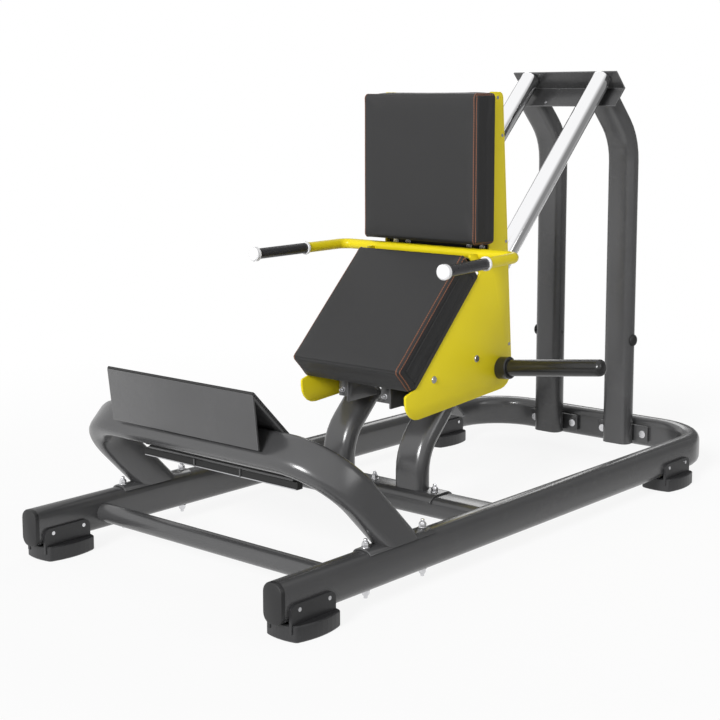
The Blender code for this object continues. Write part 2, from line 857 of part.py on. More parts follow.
bracket_rear_bottom = bracket_bottom + bracket_depth * math.tan(bracket_rise)
bracket_outline = rounded([
    (bracket_front, bracket_bottom, lug_corner), (bracket_rear, bracket_rear_bottom, lug_corner),
    (bracket_rear, under_board(bracket_rear), 0), (bracket_front, under_board(bracket_front), 0),
])
seat_bracket = extrude(
    "seat_bracket", bracket_outline, Vector((bracket_x - bracket_thick / 2, 0, 0)), Y, Z,
    bracket_thick, "frame",
)
socket = extrude(
    "socket", box_outline(cross_tube + 2 * fit, cross_tube + 2 * fit, 0.005 + fit), front_cross,
    Y, Z, 2 * cross_reach, "frame",
)
combine(seat_bracket, socket, "DIFFERENCE")
both_sides(seat_bracket, "seat_bracket")


# Cushions


def cushion(name, width, length, thick, crown, origin, u, v):
    """Padded block: origin at the middle of its back, u across and v along it."""
    n = u.cross(v)
    outline = rounded([
        (-width / 2, -length / 2, cushion_corner), (width / 2, -length / 2, cushion_corner),
        (width / 2, length / 2, cushion_corner), (-width / 2, length / 2, cushion_corner),
    ])
    dense = []
    for i, p in enumerate(outline):
        q = outline[(i + 1) % len(outline)]
        cuts = max(1, round((q - p).length / 0.06))
        dense += [p.lerp(q, k / cuts) for k in range(cuts)]
    half = Vector((width / 2, length / 2))
    levels = [(cushion_waist + cushion_tuck, 0.0)]
    for share in (0.06, 0.30, 0.55, 0.78):
        inset = cushion_waist * (1 - math.sin(math.pi * share))
        levels.append((inset, share * (thick - crown - cushion_edge)))
    for k in range(5):
        turn = math.radians(90) * k / 4
        inset = cushion_waist + cushion_edge * (1 - math.cos(turn))
        levels.append((inset, thick - crown - cushion_edge * (1 - math.sin(turn))))
    solid = []
    for inset, height in levels:
        row = []
        for p in dense:
            q = Vector((p.x * (1 - inset / half.x), p.y * (1 - inset / half.y)))
            row.append(origin + u * q.x + v * q.y + n * height)
        solid.append(row)
    rim = 1 - (cushion_waist + cushion_edge) / half.x
    for share in (0.94, 0.84, 0.66, 0.42, 0.16):
        row = []
        for p in dense:
            q = p * share * rim
            rise = crown * (1 - (abs(q.x) / half.x) ** 3) * (1 - (abs(q.y) / half.y) ** 3)
            row.append(origin + u * q.x + v * q.y + n * (thick - crown + rise))
        solid.append(row)
    return loft(name, solid, "cushion", crease=50)


seat_mid = on_seat(seat_length / 2, seat_thick)
seat_up = Vector((0, seat_dir.x, seat_dir.y))
seat_origin = Vector((0, seat_mid.x, seat_mid.y))
cushion("seat_pad", seat_width, seat_length, seat_thick, seat_crown, seat_origin, X, seat_up)
back_origin = Vector((0, back_face + back_thick, back_low + back_height / 2))
cushion("back_pad", back_width, back_height, back_thick, back_crown, back_origin, X, Z)

seat_board = extrude(
    "seat_board", box_outline(seat_width - 2 * seat_board_inset, seat_length - 2 * seat_board_inset,
                              board_corner),
    seat_origin - X.cross(seat_up) * (fit + board_thick), X, seat_up, board_thick, "board",
)
back_board = extrude(
    "back_board", box_outline(back_width - 2 * back_board_inset, back_height - 2 * back_board_inset,
                              board_corner),
    back_origin + Y * (fit + board_thick), X, Z, board_thick, "board",
)

# Handlebar: one tube through both side plates with its ends turned forward
forward = Vector((0, -math.cos(handle_pitch), -math.sin(handle_pitch)))
handle_normal = Vector((0, -math.sin(handle_pitch), math.cos(handle_pitch)))
splay = X * math.sin(handle_splay) + forward * math.cos(handle_splay)
corner_right = handle_centre + X * handle_half
corner_left = handle_centre - X * handle_half
splay_left = Vector((-splay.x, splay.y, splay.z))
handle_path = bend_path([
    corner_left + splay_left * handle_reach, corner_left, corner_right,
    corner_right + splay * handle_reach,
], handle_bend)
circle = [
    Vector((math.cos(2 * math.pi * k / 16), math.sin(2 * math.pi * k / 16))) * handle_radius
    for k in range(16)
]
handlebar = sweep("handlebar", handle_path, circle, handle_normal, "plate", crease=40)

handle_end = corner_right + splay * handle_reach
grip_start = handle_end - splay * (grip_length - fit)
grip = turned(
    "grip", grip_start, splay,
    [(0, handle_radius + fit), (0, grip_diameter / 2 - 0.0015), (0.004, grip_diameter / 2),
     (grip_length - 0.002, grip_diameter / 2), (grip_length, grip_diameter / 2 - 0.001),
     (grip_length, handle_radius + fit)], "grip", side=Z, looped=True,
)
both_sides(grip, "grip")
ring_start = grip_start - splay * (grip_ring_length + fit)
grip_ring = turned(
    "grip_ring", ring_start, splay,
    [(0, handle_radius + fit), (0, grip_ring_diameter / 2), (grip_ring_length, grip_ring_diameter / 2),
     (grip_ring_length, handle_radius + fit)], "cap", side=Z, looped=True,
)
both_sides(grip_ring, "grip_ring")
grip_cap = turned(
    "grip_cap", handle_end + splay * (2 * fit), splay,
    [(0, grip_cap_diameter / 2 - 0.002), (0.002, grip_cap_diameter / 2),
     (grip_cap_length - 0.004, grip_cap_diameter / 2),
     (grip_cap_length, grip_cap_diameter / 2 - 0.004)], "cap", side=Z,
)
both_sides(grip_cap, "grip_cap")

# Weight horns: a collar and a sleeve, tilted up and trimmed flat to the side plate
horn_axis = Vector((math.cos(horn_tilt), 0, math.sin(horn_tilt)))
horn_foot = Vector((plate_outer + fit, from_front(horn_y), horn_z))
horn_radius = horn_diameter / 2
collar_radius = collar_diameter / 2


def trimmed_round(name, origin, axis, profile, plane, paint):
    """Turned piece whose first ring is trimmed to a plane across X."""
    side = Y
    other = axis.cross(side)
    rings = []
    for index, (distance, radius) in enumerate(profile):
        ring = []
        for k in range(facets):
            turn = 2 * math.pi * k / facets
            p = origin + axis * distance + side * (math.cos(turn) * radius)
            p = p + other * (math.sin(turn) * radius)
            if index == 0:
                p = p + axis * ((plane - p.x) / axis.x)
            ring.append(p)
        rings.append(ring)
    return loft(name, rings, paint)


horn = trimmed_round(
    "weight_horn", horn_foot, horn_axis,
    [(0, collar_radius), (collar_length - 0.003, collar_radius), (collar_length, collar_radius - 0.003),
     (collar_length, horn_radius), (horn_length - horn_nose, horn_radius),
     (horn_length - horn_nose * 0.6, horn_radius * 0.97), (horn_length - horn_nose * 0.25, horn_radius * 0.84),
     (horn_length, horn_radius * 0.55)], horn_foot.x, "horn",
)
both_sides(horn, "weight_horn")

print("pieces:", len(bpy.data.objects))
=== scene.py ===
import json
import math

import bmesh
import bpy
from mathutils import Matrix, Vector
from mathutils.bvhtree import BVHTree

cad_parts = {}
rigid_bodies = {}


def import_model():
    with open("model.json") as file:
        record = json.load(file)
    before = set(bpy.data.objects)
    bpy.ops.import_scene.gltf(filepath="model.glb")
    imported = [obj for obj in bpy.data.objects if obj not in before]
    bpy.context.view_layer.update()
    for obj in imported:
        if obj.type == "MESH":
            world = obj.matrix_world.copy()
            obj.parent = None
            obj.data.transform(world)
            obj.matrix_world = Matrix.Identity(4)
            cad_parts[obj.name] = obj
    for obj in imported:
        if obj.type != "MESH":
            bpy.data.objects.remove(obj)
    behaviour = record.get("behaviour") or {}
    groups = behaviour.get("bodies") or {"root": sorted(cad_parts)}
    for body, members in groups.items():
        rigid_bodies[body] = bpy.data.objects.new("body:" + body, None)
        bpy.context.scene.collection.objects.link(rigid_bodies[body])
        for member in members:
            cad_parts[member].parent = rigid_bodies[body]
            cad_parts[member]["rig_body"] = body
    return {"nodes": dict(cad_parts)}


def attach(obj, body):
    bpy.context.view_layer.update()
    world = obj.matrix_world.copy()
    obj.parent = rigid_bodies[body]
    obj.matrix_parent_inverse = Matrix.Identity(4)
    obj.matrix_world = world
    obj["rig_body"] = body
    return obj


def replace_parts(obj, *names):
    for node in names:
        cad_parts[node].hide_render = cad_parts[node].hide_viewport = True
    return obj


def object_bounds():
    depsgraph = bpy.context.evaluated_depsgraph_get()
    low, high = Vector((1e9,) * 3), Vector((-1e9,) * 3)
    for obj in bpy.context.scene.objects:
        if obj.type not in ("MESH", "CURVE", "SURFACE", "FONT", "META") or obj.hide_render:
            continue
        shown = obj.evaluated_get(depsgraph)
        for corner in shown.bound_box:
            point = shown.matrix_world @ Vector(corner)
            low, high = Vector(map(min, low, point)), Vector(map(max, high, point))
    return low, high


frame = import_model()
cadLow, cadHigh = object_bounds()
nodes = frame["nodes"]
halfLength = (cadHigh.y - cadLow.y) / 2
railBottom = 0.040
hands = ((1, "right"), (-1, "left"))
slideUp = Vector((0, math.sqrt(0.5), math.sqrt(0.5)))
slideOut = Vector((0, -math.sqrt(0.5), math.sqrt(0.5)))
print("frame loaded:", len(nodes), "nodes")


def fromFront(x, distance, aboveRail):
    # a place by its distance from the front of the machine and above the underside of the rails
    return Vector((x, distance - halfLength, aboveRail + railBottom))


class Wire:  # a socket that adds Math nodes when it stands in an expression
    def __init__(self, recipe, socket):
        self.recipe, self.socket = recipe, socket

    def math(self, operation, *values):
        return self.recipe.node("Math", {"operation": operation}, dict(enumerate(values)))

    def __add__(self, other):
        return self.math("ADD", self, other)

    def __radd__(self, other):
        return self.math("ADD", other, self)

    def __sub__(self, other):
        return self.math("SUBTRACT", self, other)

    def __rsub__(self, other):
        return self.math("SUBTRACT", other, self)

    def __mul__(self, other):
        return self.math("MULTIPLY", self, other)

    def __rmul__(self, other):
        return self.math("MULTIPLY", other, self)

    def atLeast(self, low):
        return self.math("MAXIMUM", self, low)

    def atMost(self, high):
        return self.math("MINIMUM", self, high)


class Recipe:
    def __init__(self, owner):
        owner.use_nodes = True
        self.owner = owner
        self.tree = owner.node_tree
        self.shader = self.tree.nodes.get("Principled BSDF")

    def node(self, kind, settings, values, out=0):
        made = self.tree.nodes.new("ShaderNode" + kind)
        for key, value in settings.items():
            if key == "stops":
                for element, (place, shade) in zip(made.color_ramp.elements, value):
                    element.position = place
                    element.color = rgb(shade, shade, shade)
            else:
                setattr(made, key, value)
        for key, value in values.items():
            self.feed(made.inputs[key], value)
        return Wire(self, made.outputs[out])

    def feed(self, socket, value):
        if isinstance(value, Wire):
            self.tree.links.new(value.socket, socket)
        else:
            socket.default_value = value

    def point(self):
        return self.node("TexCoord", {}, {}, "Object")

    def noise(self, scale, detail=2.0, roughness=0.5, vector=None):
        values = {"Vector": vector or self.point(), "Scale": scale, "Detail": detail, "Roughness": roughness}
        return self.node("TexNoise", {}, values)

    def ramp(self, value, *stops):
        return self.node("ValToRGB", {"stops": stops}, {"Fac": value})

    def mixColour(self, share, first, second):
        return self.node("Mix", {"data_type": "RGBA"}, {0: share, 6: first, 7: second}, 2)

    def bump(self, height, depth, strength=1.0, under=None):
        values = {"Height": height, "Distance": depth, "Strength": strength}
        if under:
            values["Normal"] = under
        return self.node("Bump", {}, values)

    def paint(self, **values):
        for name, value in values.items():
            self.feed(self.shader.inputs[name.replace("_", " ")], value)
        return self.owner


def rgb(red, green, blue):
    return (red, green, blue, 1.0)


def newRecipe(name):
    return Recipe(bpy.data.materials.new(name))


def lifted(colour, lift):
    return rgb(*(c * lift for c in colour[:3]))


charcoalPaint = {"light": rgb(0.066, 0.066, 0.0675), "dark": rgb(0.049, 0.049, 0.0505), "roughness": 0.23,
                 "metallic": 0.08, "specular": 0.80, "cloud": 7.0, "flake": 2600.0, "peel": 420.0,
                 "peelDepth": 0.00012}


def makeCharcoal(name, lift=1.0, rougher=0.0):
    # powder coat: cloudy tone, metal flake and orange peel
    r = newRecipe(name)
    cloud = r.noise(charcoalPaint["cloud"])
    flake = r.noise(charcoalPaint["flake"], 1.0)
    peel = r.noise(charcoalPaint["peel"], 2.0, 0.4)
    tone = r.mixColour(cloud * 0.55 + flake * 0.45, lifted(charcoalPaint["dark"], lift),
                       lifted(charcoalPaint["light"], lift))
    rough = charcoalPaint["roughness"] + rougher + cloud * 0.10 - flake * 0.05
    return r.paint(Base_Color=tone, Roughness=rough, Metallic=charcoalPaint["metallic"],
                   Specular_IOR_Level=charcoalPaint["specular"],
                   Normal=r.bump(peel, charcoalPaint["peelDepth"], 0.4))


yellowPaint = {"light": rgb(0.76, 0.630, 0.014), "dark": rgb(0.69, 0.565, 0.009), "roughness": 0.30,
               "specular": 0.28, "cloud": 5.0, "peel": 380.0, "peelDepth": 0.00014}


def makeYellow(name, lift=1.0):
    # the same coat without flake
    r = newRecipe(name)
    cloud = r.noise(yellowPaint["cloud"])
    peel = r.noise(yellowPaint["peel"], 2.0, 0.4)
    tone = r.mixColour(cloud, lifted(yellowPaint["dark"], lift), lifted(yellowPaint["light"], lift))
    return r.paint(Base_Color=tone, Roughness=yellowPaint["roughness"] + cloud * 0.10,
                   Specular_IOR_Level=yellowPaint["specular"],
                   Normal=r.bump(peel, yellowPaint["peelDepth"], 0.5))


chromePlate = {"colour": rgb(0.93, 0.93, 0.94), "roughness": 0.05, "rings": 1800.0, "ringDepth": 0.00002,
               "haze": 30.0}


def makeChrome(name):
    # ground rod: very fine rings round the rod, faint haze
    r = newRecipe(name)
    slide = r.node("VectorMath", {"operation": "DOT_PRODUCT"}, {0: r.point(), 1: slideUp}, "Value")
    rings = r.node("TexNoise", {"noise_dimensions": "1D"},
                   {"W": slide, "Scale": chromePlate["rings"], "Detail": 2.0})
    haze = r.noise(chromePlate["haze"], 3.0)
    return r.paint(Base_Color=chromePlate["colour"], Metallic=1.0,
                   Roughness=chromePlate["roughness"] + haze * 0.05,
                   Normal=r.bump(rings, chromePlate["ringDepth"], 0.25))


bareMetal = {"stain": 60.0, "stainTone": 0.72, "grainDepth": 0.00006}


def makeMetal(name, colour, roughness, grain):
    # turned or plated metal: fine grain under cloudy stains
    r = newRecipe(name)
    fine = r.noise(grain)
    stain = r.noise(bareMetal["stain"], 3.0)
    tone = r.mixColour(stain, lifted(colour, bareMetal["stainTone"]), colour)
    return r.paint(Base_Color=tone, Metallic=1.0, Roughness=roughness + stain * 0.12,
                   Normal=r.bump(fine, bareMetal["grainDepth"], 0.4))


def makeMoulded(name, colour, roughness, grain, depth, lighter=1.35):
    # moulded plastic or rubber: fine spark texture with a cloudy bloom
    r = newRecipe(name)
    spark = r.noise(grain, 2.0, 0.6)
    bloom = r.noise(14.0, 4.0)
    return r.paint(Base_Color=r.mixColour(bloom, colour, lifted(colour, lighter)),
                   Roughness=roughness + bloom * 0.10, Normal=r.bump(spark, depth, 0.6))


treadMat = {"low": rgb(0.007, 0.007, 0.007), "high": rgb(0.016, 0.016, 0.017), "roughness": 0.55,
            "pitch": 0.009, "ribDepth": 0.0012, "spark": 1000.0, "sparkDepth": 0.0002}


def makeTread(name):
    # black mat with low ribs across the foot platform
    r = newRecipe(name)
    slope = r.node("VectorMath", {"operation": "DOT_PRODUCT"}, {0: r.point(), 1: slideOut}, "Value")
    wave = r.node("Math", {"operation": "SINE"}, {0: slope * (2 * math.pi / treadMat["pitch"])})
    spark = r.noise(treadMat["spark"])
    ribs = r.bump(wave, treadMat["ribDepth"], 0.8)
    # the troughs between the ribs are painted darker and the crests lighter, as painted shade in the troughs
    return r.paint(Base_Color=r.mixColour(wave * 0.5 + 0.5, treadMat["low"], treadMat["high"]),
                   Roughness=treadMat["roughness"] + spark * 0.1,
                   Normal=r.bump(spark, treadMat["sparkDepth"], 0.5, ribs))


vinylCover = {"light": rgb(0.024, 0.024, 0.0245), "dark": rgb(0.017, 0.017, 0.0175), "roughness": 0.50,
              "specular": 0.32, "grain": 640.0, "crease": 0.12, "depth": 0.00022, "warp": 160.0,
              "warpReach": 0.0022, "fine": 2400.0, "sweep": 9.0}


def makeVinyl(name):
    # embossed leather grain: cells with creases between them, over fine noise
    r = newRecipe(name)
    wander = r.node("TexNoise", {}, {"Vector": r.point(), "Scale": vinylCover["warp"], "Detail": 2.0},
                    "Color")
    warp = r.node("VectorMath", {"operation": "SCALE"}, {0: wander, "Scale": vinylCover["warpReach"]})
    where = r.node("VectorMath", {"operation": "ADD"}, {0: r.point(), 1: warp})
    cell = r.node("TexVoronoi", {"feature": "DISTANCE_TO_EDGE"},
                  {"Vector": where, "Scale": vinylCover["grain"]})
    crease = r.ramp(cell, (0.0, 0.0), (vinylCover["crease"], 1.0))
    fine = r.noise(vinylCover["fine"])
    sweep = r.noise(vinylCover["sweep"], 3.0)
    height = crease * 0.75 + fine * 0.25
    # the creases between the grain's cells are painted darker, as painted shade in them; the sweep varies the
    # tone at random
    tone = r.mixColour(crease * 0.5 + sweep * 0.5, vinylCover["dark"], vinylCover["light"])
    return r.paint(Base_Color=tone, Roughness=vinylCover["roughness"] + sweep * 0.10 - crease * 0.05,
                   Specular_IOR_Level=vinylCover["specular"],
                   Normal=r.bump(height, vinylCover["depth"], 0.55))


spunThread = {"dark": rgb(0.17, 0.060, 0.028), "light": rgb(0.29, 0.105, 0.050), "roughness": 0.70,
              "twist": 1500.0, "depth": 0.0002}


def makeThread(name):
    r = newRecipe(name)
    twist = r.noise(spunThread["twist"])
    return r.paint(Base_Color=r.mixColour(twist, spunThread["dark"], spunThread["light"]),
                   Roughness=spunThread["roughness"], Normal=r.bump(twist, spunThread["depth"], 0.6))


stainedBoard = {"dark": rgb(0.012, 0.012, 0.012), "light": rgb(0.035, 0.033, 0.030), "roughness": 0.62,
                "grain": 260.0, "stretch": (0.06, 1.0, 1.0), "depth": 0.0003}


def makeBoard(name):
    # black stained plywood with its grain running across
    r = newRecipe(name)
    stretched = r.node("VectorMath", {"operation": "MULTIPLY"}, {0: r.point(), 1: stainedBoard["stretch"]})
    grain = r.noise(stainedBoard["grain"], 4.0, 0.6, stretched)
    return r.paint(Base_Color=r.mixColour(grain, stainedBoard["dark"], stainedBoard["light"]),
                   Roughness=stainedBoard["roughness"] + grain * 0.2,
                   Normal=r.bump(grain, stainedBoard["depth"], 0.5))


charcoal = makeCharcoal("charcoalPowderCoat")
# a darker copy of the charcoal for the top bracket: painted shade, the frame's own paint as it looks in the
# shade the bracket sits in
bracketPaintedShade = makeCharcoal("bracketPowderCoat", 0.55)
# the edges' charcoal, lighter and less rough: partly wear and partly a painted highlight
charcoalEdge = makeCharcoal("charcoalEdge", 1.5, -0.06)
yellow = makeYellow("yellowPowderCoat")
# the edges' yellow, lighter: partly wear and partly a painted highlight
yellowEdge = makeYellow("yellowEdge", 1.12)
chrome = makeChrome("groundChrome")
alloy = makeMetal("machinedAlloy", rgb(0.62, 0.62, 0.64), roughness=0.26, grain=900.0)
zinc = makeMetal("zincPlate", rgb(0.80, 0.80, 0.82), roughness=0.20, grain=1400.0)
rubber = makeMoulded("mouldedRubber", rgb(0.015, 0.015, 0.016), roughness=0.34, grain=1100.0, depth=0.0002)
capPlastic = makeMoulded("capPlastic", rgb(0.007, 0.007, 0.0075), roughness=0.38, grain=1600.0, depth=0.0001)
gripRubber = makeMoulded("gripRubber", rgb(0.026, 0.026, 0.028), roughness=0.22, grain=1200.0, depth=0.0002)
whitePlastic = makeMoulded("whitePlastic", rgb(0.78, 0.78, 0.79), roughness=0.30, grain=900.0, depth=0.00006,
                           lighter=1.05)
sleeveBlack = makeMoulded("sleeveBlack", rgb(0.012, 0.012, 0.012), roughness=0.20, grain=500.0, depth=0.00006,
                          lighter=1.2)
trimBlack = makeMoulded("trimBlack", rgb(0.006, 0.006, 0.006), roughness=0.60, grain=900.0, depth=0.0001)
treadRubber = makeTread("treadRubber")
vinyl = makeVinyl("grainedVinyl")
thread = makeThread("orangeThread")
boardBlack = makeBoard("blackBoard")
print("materials made")

finishOf = {
    "grey_paint": charcoal, "yellow_paint": yellow, "chrome": chrome, "alloy": alloy,
    "rubber": rubber, "upholstery": vinyl, "board": boardBlack, "white_trim": whitePlastic,
    "grip_foam": gripRubber, "black_sleeve": sleeveBlack, "black_trim": trimBlack,
}
slotOf = {}
for name, node in nodes.items():
    slotOf[name] = node.material_slots[0].material.name.split(".")[0]
    node.material_slots[0].material = finishOf[slotOf[name]]
for name in ("rail_cap_left", "rail_cap_right"):
    nodes[name].material_slots[0].material = capPlastic
print("finishes given to the frame's nodes")


def editAll(piece):
    bpy.ops.object.select_all(action="DESELECT")
    piece.select_set(True)
    bpy.context.view_layer.objects.active = piece
    bpy.ops.object.mode_set(mode="EDIT")
    bpy.ops.mesh.select_all(action="SELECT")


def leaveEdit(sharp=40.0):
    # faces that meet at less than the sharp angle are shaded as one surface
    bpy.ops.object.mode_set(mode="OBJECT")
    bpy.ops.object.shade_smooth_by_angle(angle=math.radians(sharp))


def pickFaces(piece, wanted):
    # selects, in edit mode, the faces for which wanted(middle, normal) holds
    bpy.ops.mesh.select_all(action="DESELECT")
    work = bmesh.from_edit_mesh(piece.data)
    for face in work.faces:
        face.select_set(wanted(face.calc_center_median(), face.normal))
    work.select_flush_mode()
    bmesh.update_edit_mesh(piece.data)


def pickEdges(piece, wanted):
    # selects, in edit mode, the edges for which wanted(middle, edge) holds
    bpy.ops.mesh.select_mode(type="EDGE")
    bpy.ops.mesh.select_all(action="DESELECT")
    work = bmesh.from_edit_mesh(piece.data)
    for edge in work.edges:
        edge.select_set(wanted((edge.verts[0].co + edge.verts[1].co) / 2, edge))
    bmesh.update_edit_mesh(piece.data)


def settle(piece, name, material, body):
    piece.name = name
    piece.data.name = name
    piece.data.materials.clear()
    piece.data.materials.append(material)
    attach(piece, body)
    return piece


def copyNode(name, ending):
    piece = bpy.data.objects.new(name + ending, nodes[name].data.copy())
    bpy.context.scene.collection.objects.link(piece)
    return piece


def mergeFaces(piece, flat):
    # the copy's loose triangles become whole faces, and edges flatter than this angle go
    editAll(piece)
    bpy.ops.mesh.remove_doubles(threshold=0.00001)
    bpy.ops.mesh.customdata_custom_splitnormals_clear()
    bpy.ops.mesh.dissolve_limited(angle_limit=math.radians(flat))


# Plates and brackets get a small rounded edge in a lighter, glossier copy of their coat, partly wear where
# the coat is thinner and partly a painted highlight:
# its width, the finish of the faces and the finish of the edge
softEdges = {
    "side_plate": (0.0014, yellow, yellowEdge), "foot_plate": (0.0016, charcoal, charcoalEdge),
    # the top bracket's faces take the darker copy of the charcoal, which is painted shade
    "top_bracket": (0.0014, bracketPaintedShade, charcoalEdge), "rod_plate": (0.0014, charcoal, charcoalEdge),
    "column_flange": (0.0020, charcoal, charcoal), "mid_saddle": (0.0012, charcoal, charcoalEdge),
    "arch_saddle": (0.0012, charcoal, charcoalEdge), "seat_bracket": (0.0012, charcoal, charcoalEdge),
    "platform_rib": (0.0010, charcoal, charcoalEdge), "platform_web": (0.0010, charcoal, charcoalEdge),
    "seat_board": (0.0006, boardBlack, boardBlack),
}
# The side plates' front edge stands against the back pad, beside its board
plateFront = {"from": 0.1240, "to": 0.1340, "low": 0.7745, "reach": 0.0121}
# The seat's board lies on the plates' sloping edges and fills the corner behind the seat
seatBoardFit = {"widen": 1.058, "high": 0.69, "up": Vector((0, 0.0086, 0.0136))}


def softenNode(name, width, material, edgeMaterial):
    piece = copyNode(name, "_plate")
    if name.startswith("side_plate"):
        for v in piece.data.vertices:
            if plateFront["from"] < v.co.y < plateFront["to"] and v.co.z > plateFront["low"]:
                v.co.y -= plateFront["reach"]
    if name == "seat_board":
        for v in piece.data.vertices:
            v.co.x *= seatBoardFit["widen"]
            if v.co.z > seatBoardFit["high"]:
                v.co += seatBoardFit["up"]
    mergeFaces(piece, 1.0)
    bpy.ops.object.mode_set(mode="OBJECT")
    settle(piece, name + "_plate", material, nodes[name]["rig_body"])
    piece.data.materials.append(edgeMaterial)
    bevel = piece.modifiers.new("edge", "BEVEL")
    bevel.width = width
    bevel.segments = 2
    bevel.limit_method = "ANGLE"
    bevel.angle_limit = math.radians(40)
    bevel.material = 1
    bpy.ops.object.modifier_apply(modifier=bevel.name)
    bpy.ops.object.shade_smooth_by_angle(angle=math.radians(40))
    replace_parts(piece, name)


def withSides(stem):
    return [n for n in nodes if n in (stem, stem + "_left", stem + "_right")]


for stem, (width, material, edgeMaterial) in softEdges.items():
    for name in withSides(stem):
        softenNode(name, width, material, edgeMaterial)
print("plate edges softened")

# Bent tubes and turned pieces are shown as one smooth skin
smoothSkins = ("base_tube", "platform_arch", "rod_post", "tower_column", "handlebar", "front_cross_tube",
               "mid_cross_tube", "carriage_tube_front", "carriage_tube_rear", "weight_horn", "grip_ring",
               "grip_cap", "rubber_stop", "column_plug_outer", "rail_cap")
plugRise = 0.011  # the columns' plugs stand this much above their nodes


def smoothNode(name):
    piece = copyNode(name, "_skin")
    mergeFaces(piece, 0.2)
    leaveEdit(32)
    if name.startswith("column_plug"):
        piece.data.transform(Matrix.Translation((0, 0, plugRise)))
    material = nodes[name].material_slots[0].material
    settle(piece, name + "_skin", material, nodes[name]["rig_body"])
    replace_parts(piece, name)


for stem in smoothSkins:
    for name in withSides(stem):
        smoothNode(name)
print("tubes smoothed")

# Cushions. Each is built flat on its back, with X across, Y along and Z out of its face. The cap is the
# farthest that the cloth may move, and the rows are lines of thread on the face or the side, by their
# distance from the edge.
seatCushion = {
    "width": 0.404, "length": 0.433, "depth": 0.087, "corner": Vector((0, -0.3105, 0.4783)),
    "angle": 45.0, "cap": 0.002, "shrink": 0.0016, "sideSeam": 0.028,
    "rows": (("face", 0.0118), ("face", 0.0046)),
}
backCushion = {
    "width": 0.430, "length": 0.4355, "depth": 0.089, "corner": Vector((0, 0.0259, 0.7987)),
    "angle": 90.0, "cap": 0.002, "shrink": 0.0016, "sideSeam": None,
    "rows": (("face", 0.0130), ("side", 0.0080)),
}
coverEdge = {"radius": 0.013, "segments": 4, "margin": 0.01755, "grid": 0.0105, "groove": 0.0022,
             "fold": 0.0016, "back": 0.0015, "seamLines": 0.004, "seamClear": 0.0063, "near": 0.0012,
             "corner": 0.00585}
foam = {"pressure": 4.0, "stretch": 25.0, "bending": 2.0, "steps": 20, "held": 0.004}


def cushionMatrix(cushion):
    angle = math.radians(cushion["angle"])
    up = Vector((0, math.cos(angle), math.sin(angle)))
    out = Vector((1, 0, 0)).cross(up)
    middle = cushion["corner"] + up * cushion["length"] / 2 - out * cushion["depth"]
    turn = Matrix((Vector((1, 0, 0)), up, out)).transposed().to_4x4()
    return Matrix.Translation(middle) @ turn


def blockWithGrid(size, seamLines):
    # a block on its back, cut into even cells, with its face and side edges rounded
    bpy.ops.object.select_all(action="DESELECT")
    bpy.ops.mesh.primitive_cube_add(size=1, location=(0, 0, 0.5))
    bpy.ops.object.transform_apply(location=True, rotation=True, scale=True)
    piece = bpy.context.object
    editAll(piece)
    bpy.ops.transform.resize(value=size, center_override=(0, 0, 0))
    margin = coverEdge["margin"]
    for axis in range(3):
        first = margin - (size[axis] / 2 if axis < 2 else 0)
        span = size[axis] - 2 * margin
        count = round(span / coverEdge["grid"])
        normal = Vector((axis == 0, axis == 1, axis == 2))
        places = [first + span * k / count for k in range(count + 1)]
        for offset in seamLines[axis]:  # three close lines hold the groove of a seam
            places = [p for p in places if abs(p - offset) > coverEdge["seamClear"]]
            places += [offset - coverEdge["seamLines"], offset, offset + coverEdge["seamLines"]]
        for place in places:
            bpy.ops.mesh.select_all(action="SELECT")
            bpy.ops.mesh.bisect(plane_co=normal * place, plane_no=normal)
    pickEdges(piece, lambda middle, edge: edge.calc_face_angle(0) > 1.0 and middle.z > 0.0005)
    bpy.ops.mesh.bevel(offset=coverEdge["radius"], offset_type="OFFSET", segments=coverEdge["segments"],
                       affect="EDGES")
    pickEdges(piece, lambda middle, edge: edge.calc_face_angle(0) > 1.0 and middle.z < 0.0005)
    bpy.ops.mesh.bevel(offset=coverEdge["back"], offset_type="OFFSET", segments=2, affect="EDGES")
    bpy.ops.mesh.select_all(action="SELECT")
    bpy.ops.mesh.normals_make_consistent(inside=False)
    bpy.ops.object.mode_set(mode="OBJECT")
    return piece


def markSeams(piece, size, sideSeam):
    # 1 along the seam of each side panel, a share of it along the folds of the face
    near, corner = coverEdge["near"], coverEdge["corner"]
    weights = []
    for v in piece.data.vertices:
        side = size.x / 2 - abs(v.co.x)
        end = size.y / 2 - abs(v.co.y)
        face = size.z - v.co.z
        nearest = min(end, face)
        weight = 0.0
        if sideSeam:
            if side < 0.001 and abs(nearest - sideSeam) < 0.0005 and end > sideSeam - 0.0005:
                weight = 1.0
        elif v.co.z > 0.002 and abs(side - nearest) < near and side < corner:
            weight = 1.0
        if abs(end - face) < near and end < corner and side > coverEdge["radius"]:
            weight = coverEdge["fold"] / coverEdge["groove"]
        weights.append(weight)
    seam = piece.data.attributes.new("seam", "FLOAT", "POINT")
    seam.data.foreach_set("value", weights)


def swell(piece, cushion):
    # foam pressing on its cover: cloth with a little air pressure, held where the board is
    start = [v.co.copy() for v in piece.data.vertices]
    held = piece.vertex_groups.new(name="held")
    held.add([v.index for v in piece.data.vertices if v.co.z < foam["held"]], 1.0, "REPLACE")
    cloth = piece.modifiers.new("swell", "CLOTH")
    cloth.settings.use_pressure = True
    cloth.settings.uniform_pressure_force = foam["pressure"]
    cloth.settings.effector_weights.gravity = 0.0
    cloth.settings.vertex_group_mass = "held"
    cloth.settings.tension_stiffness = foam["stretch"]
    cloth.settings.compression_stiffness = foam["stretch"]
    cloth.settings.bending_stiffness = foam["bending"]
    for step in range(foam["steps"]):
        bpy.context.scene.frame_set(step + 1)
    bpy.ops.object.modifier_apply(modifier=cloth.name)
    bpy.context.scene.frame_set(1)
    farthest = 0.0
    for v, before in zip(piece.data.vertices, start):
        move = v.co - before
        farthest = max(farthest, move.length)
        if move.length > cushion["cap"]:
            v.co = before + move * (cushion["cap"] / move.length)
    print("cover moved", round(farthest * 1000, 1), "mm before its cap")


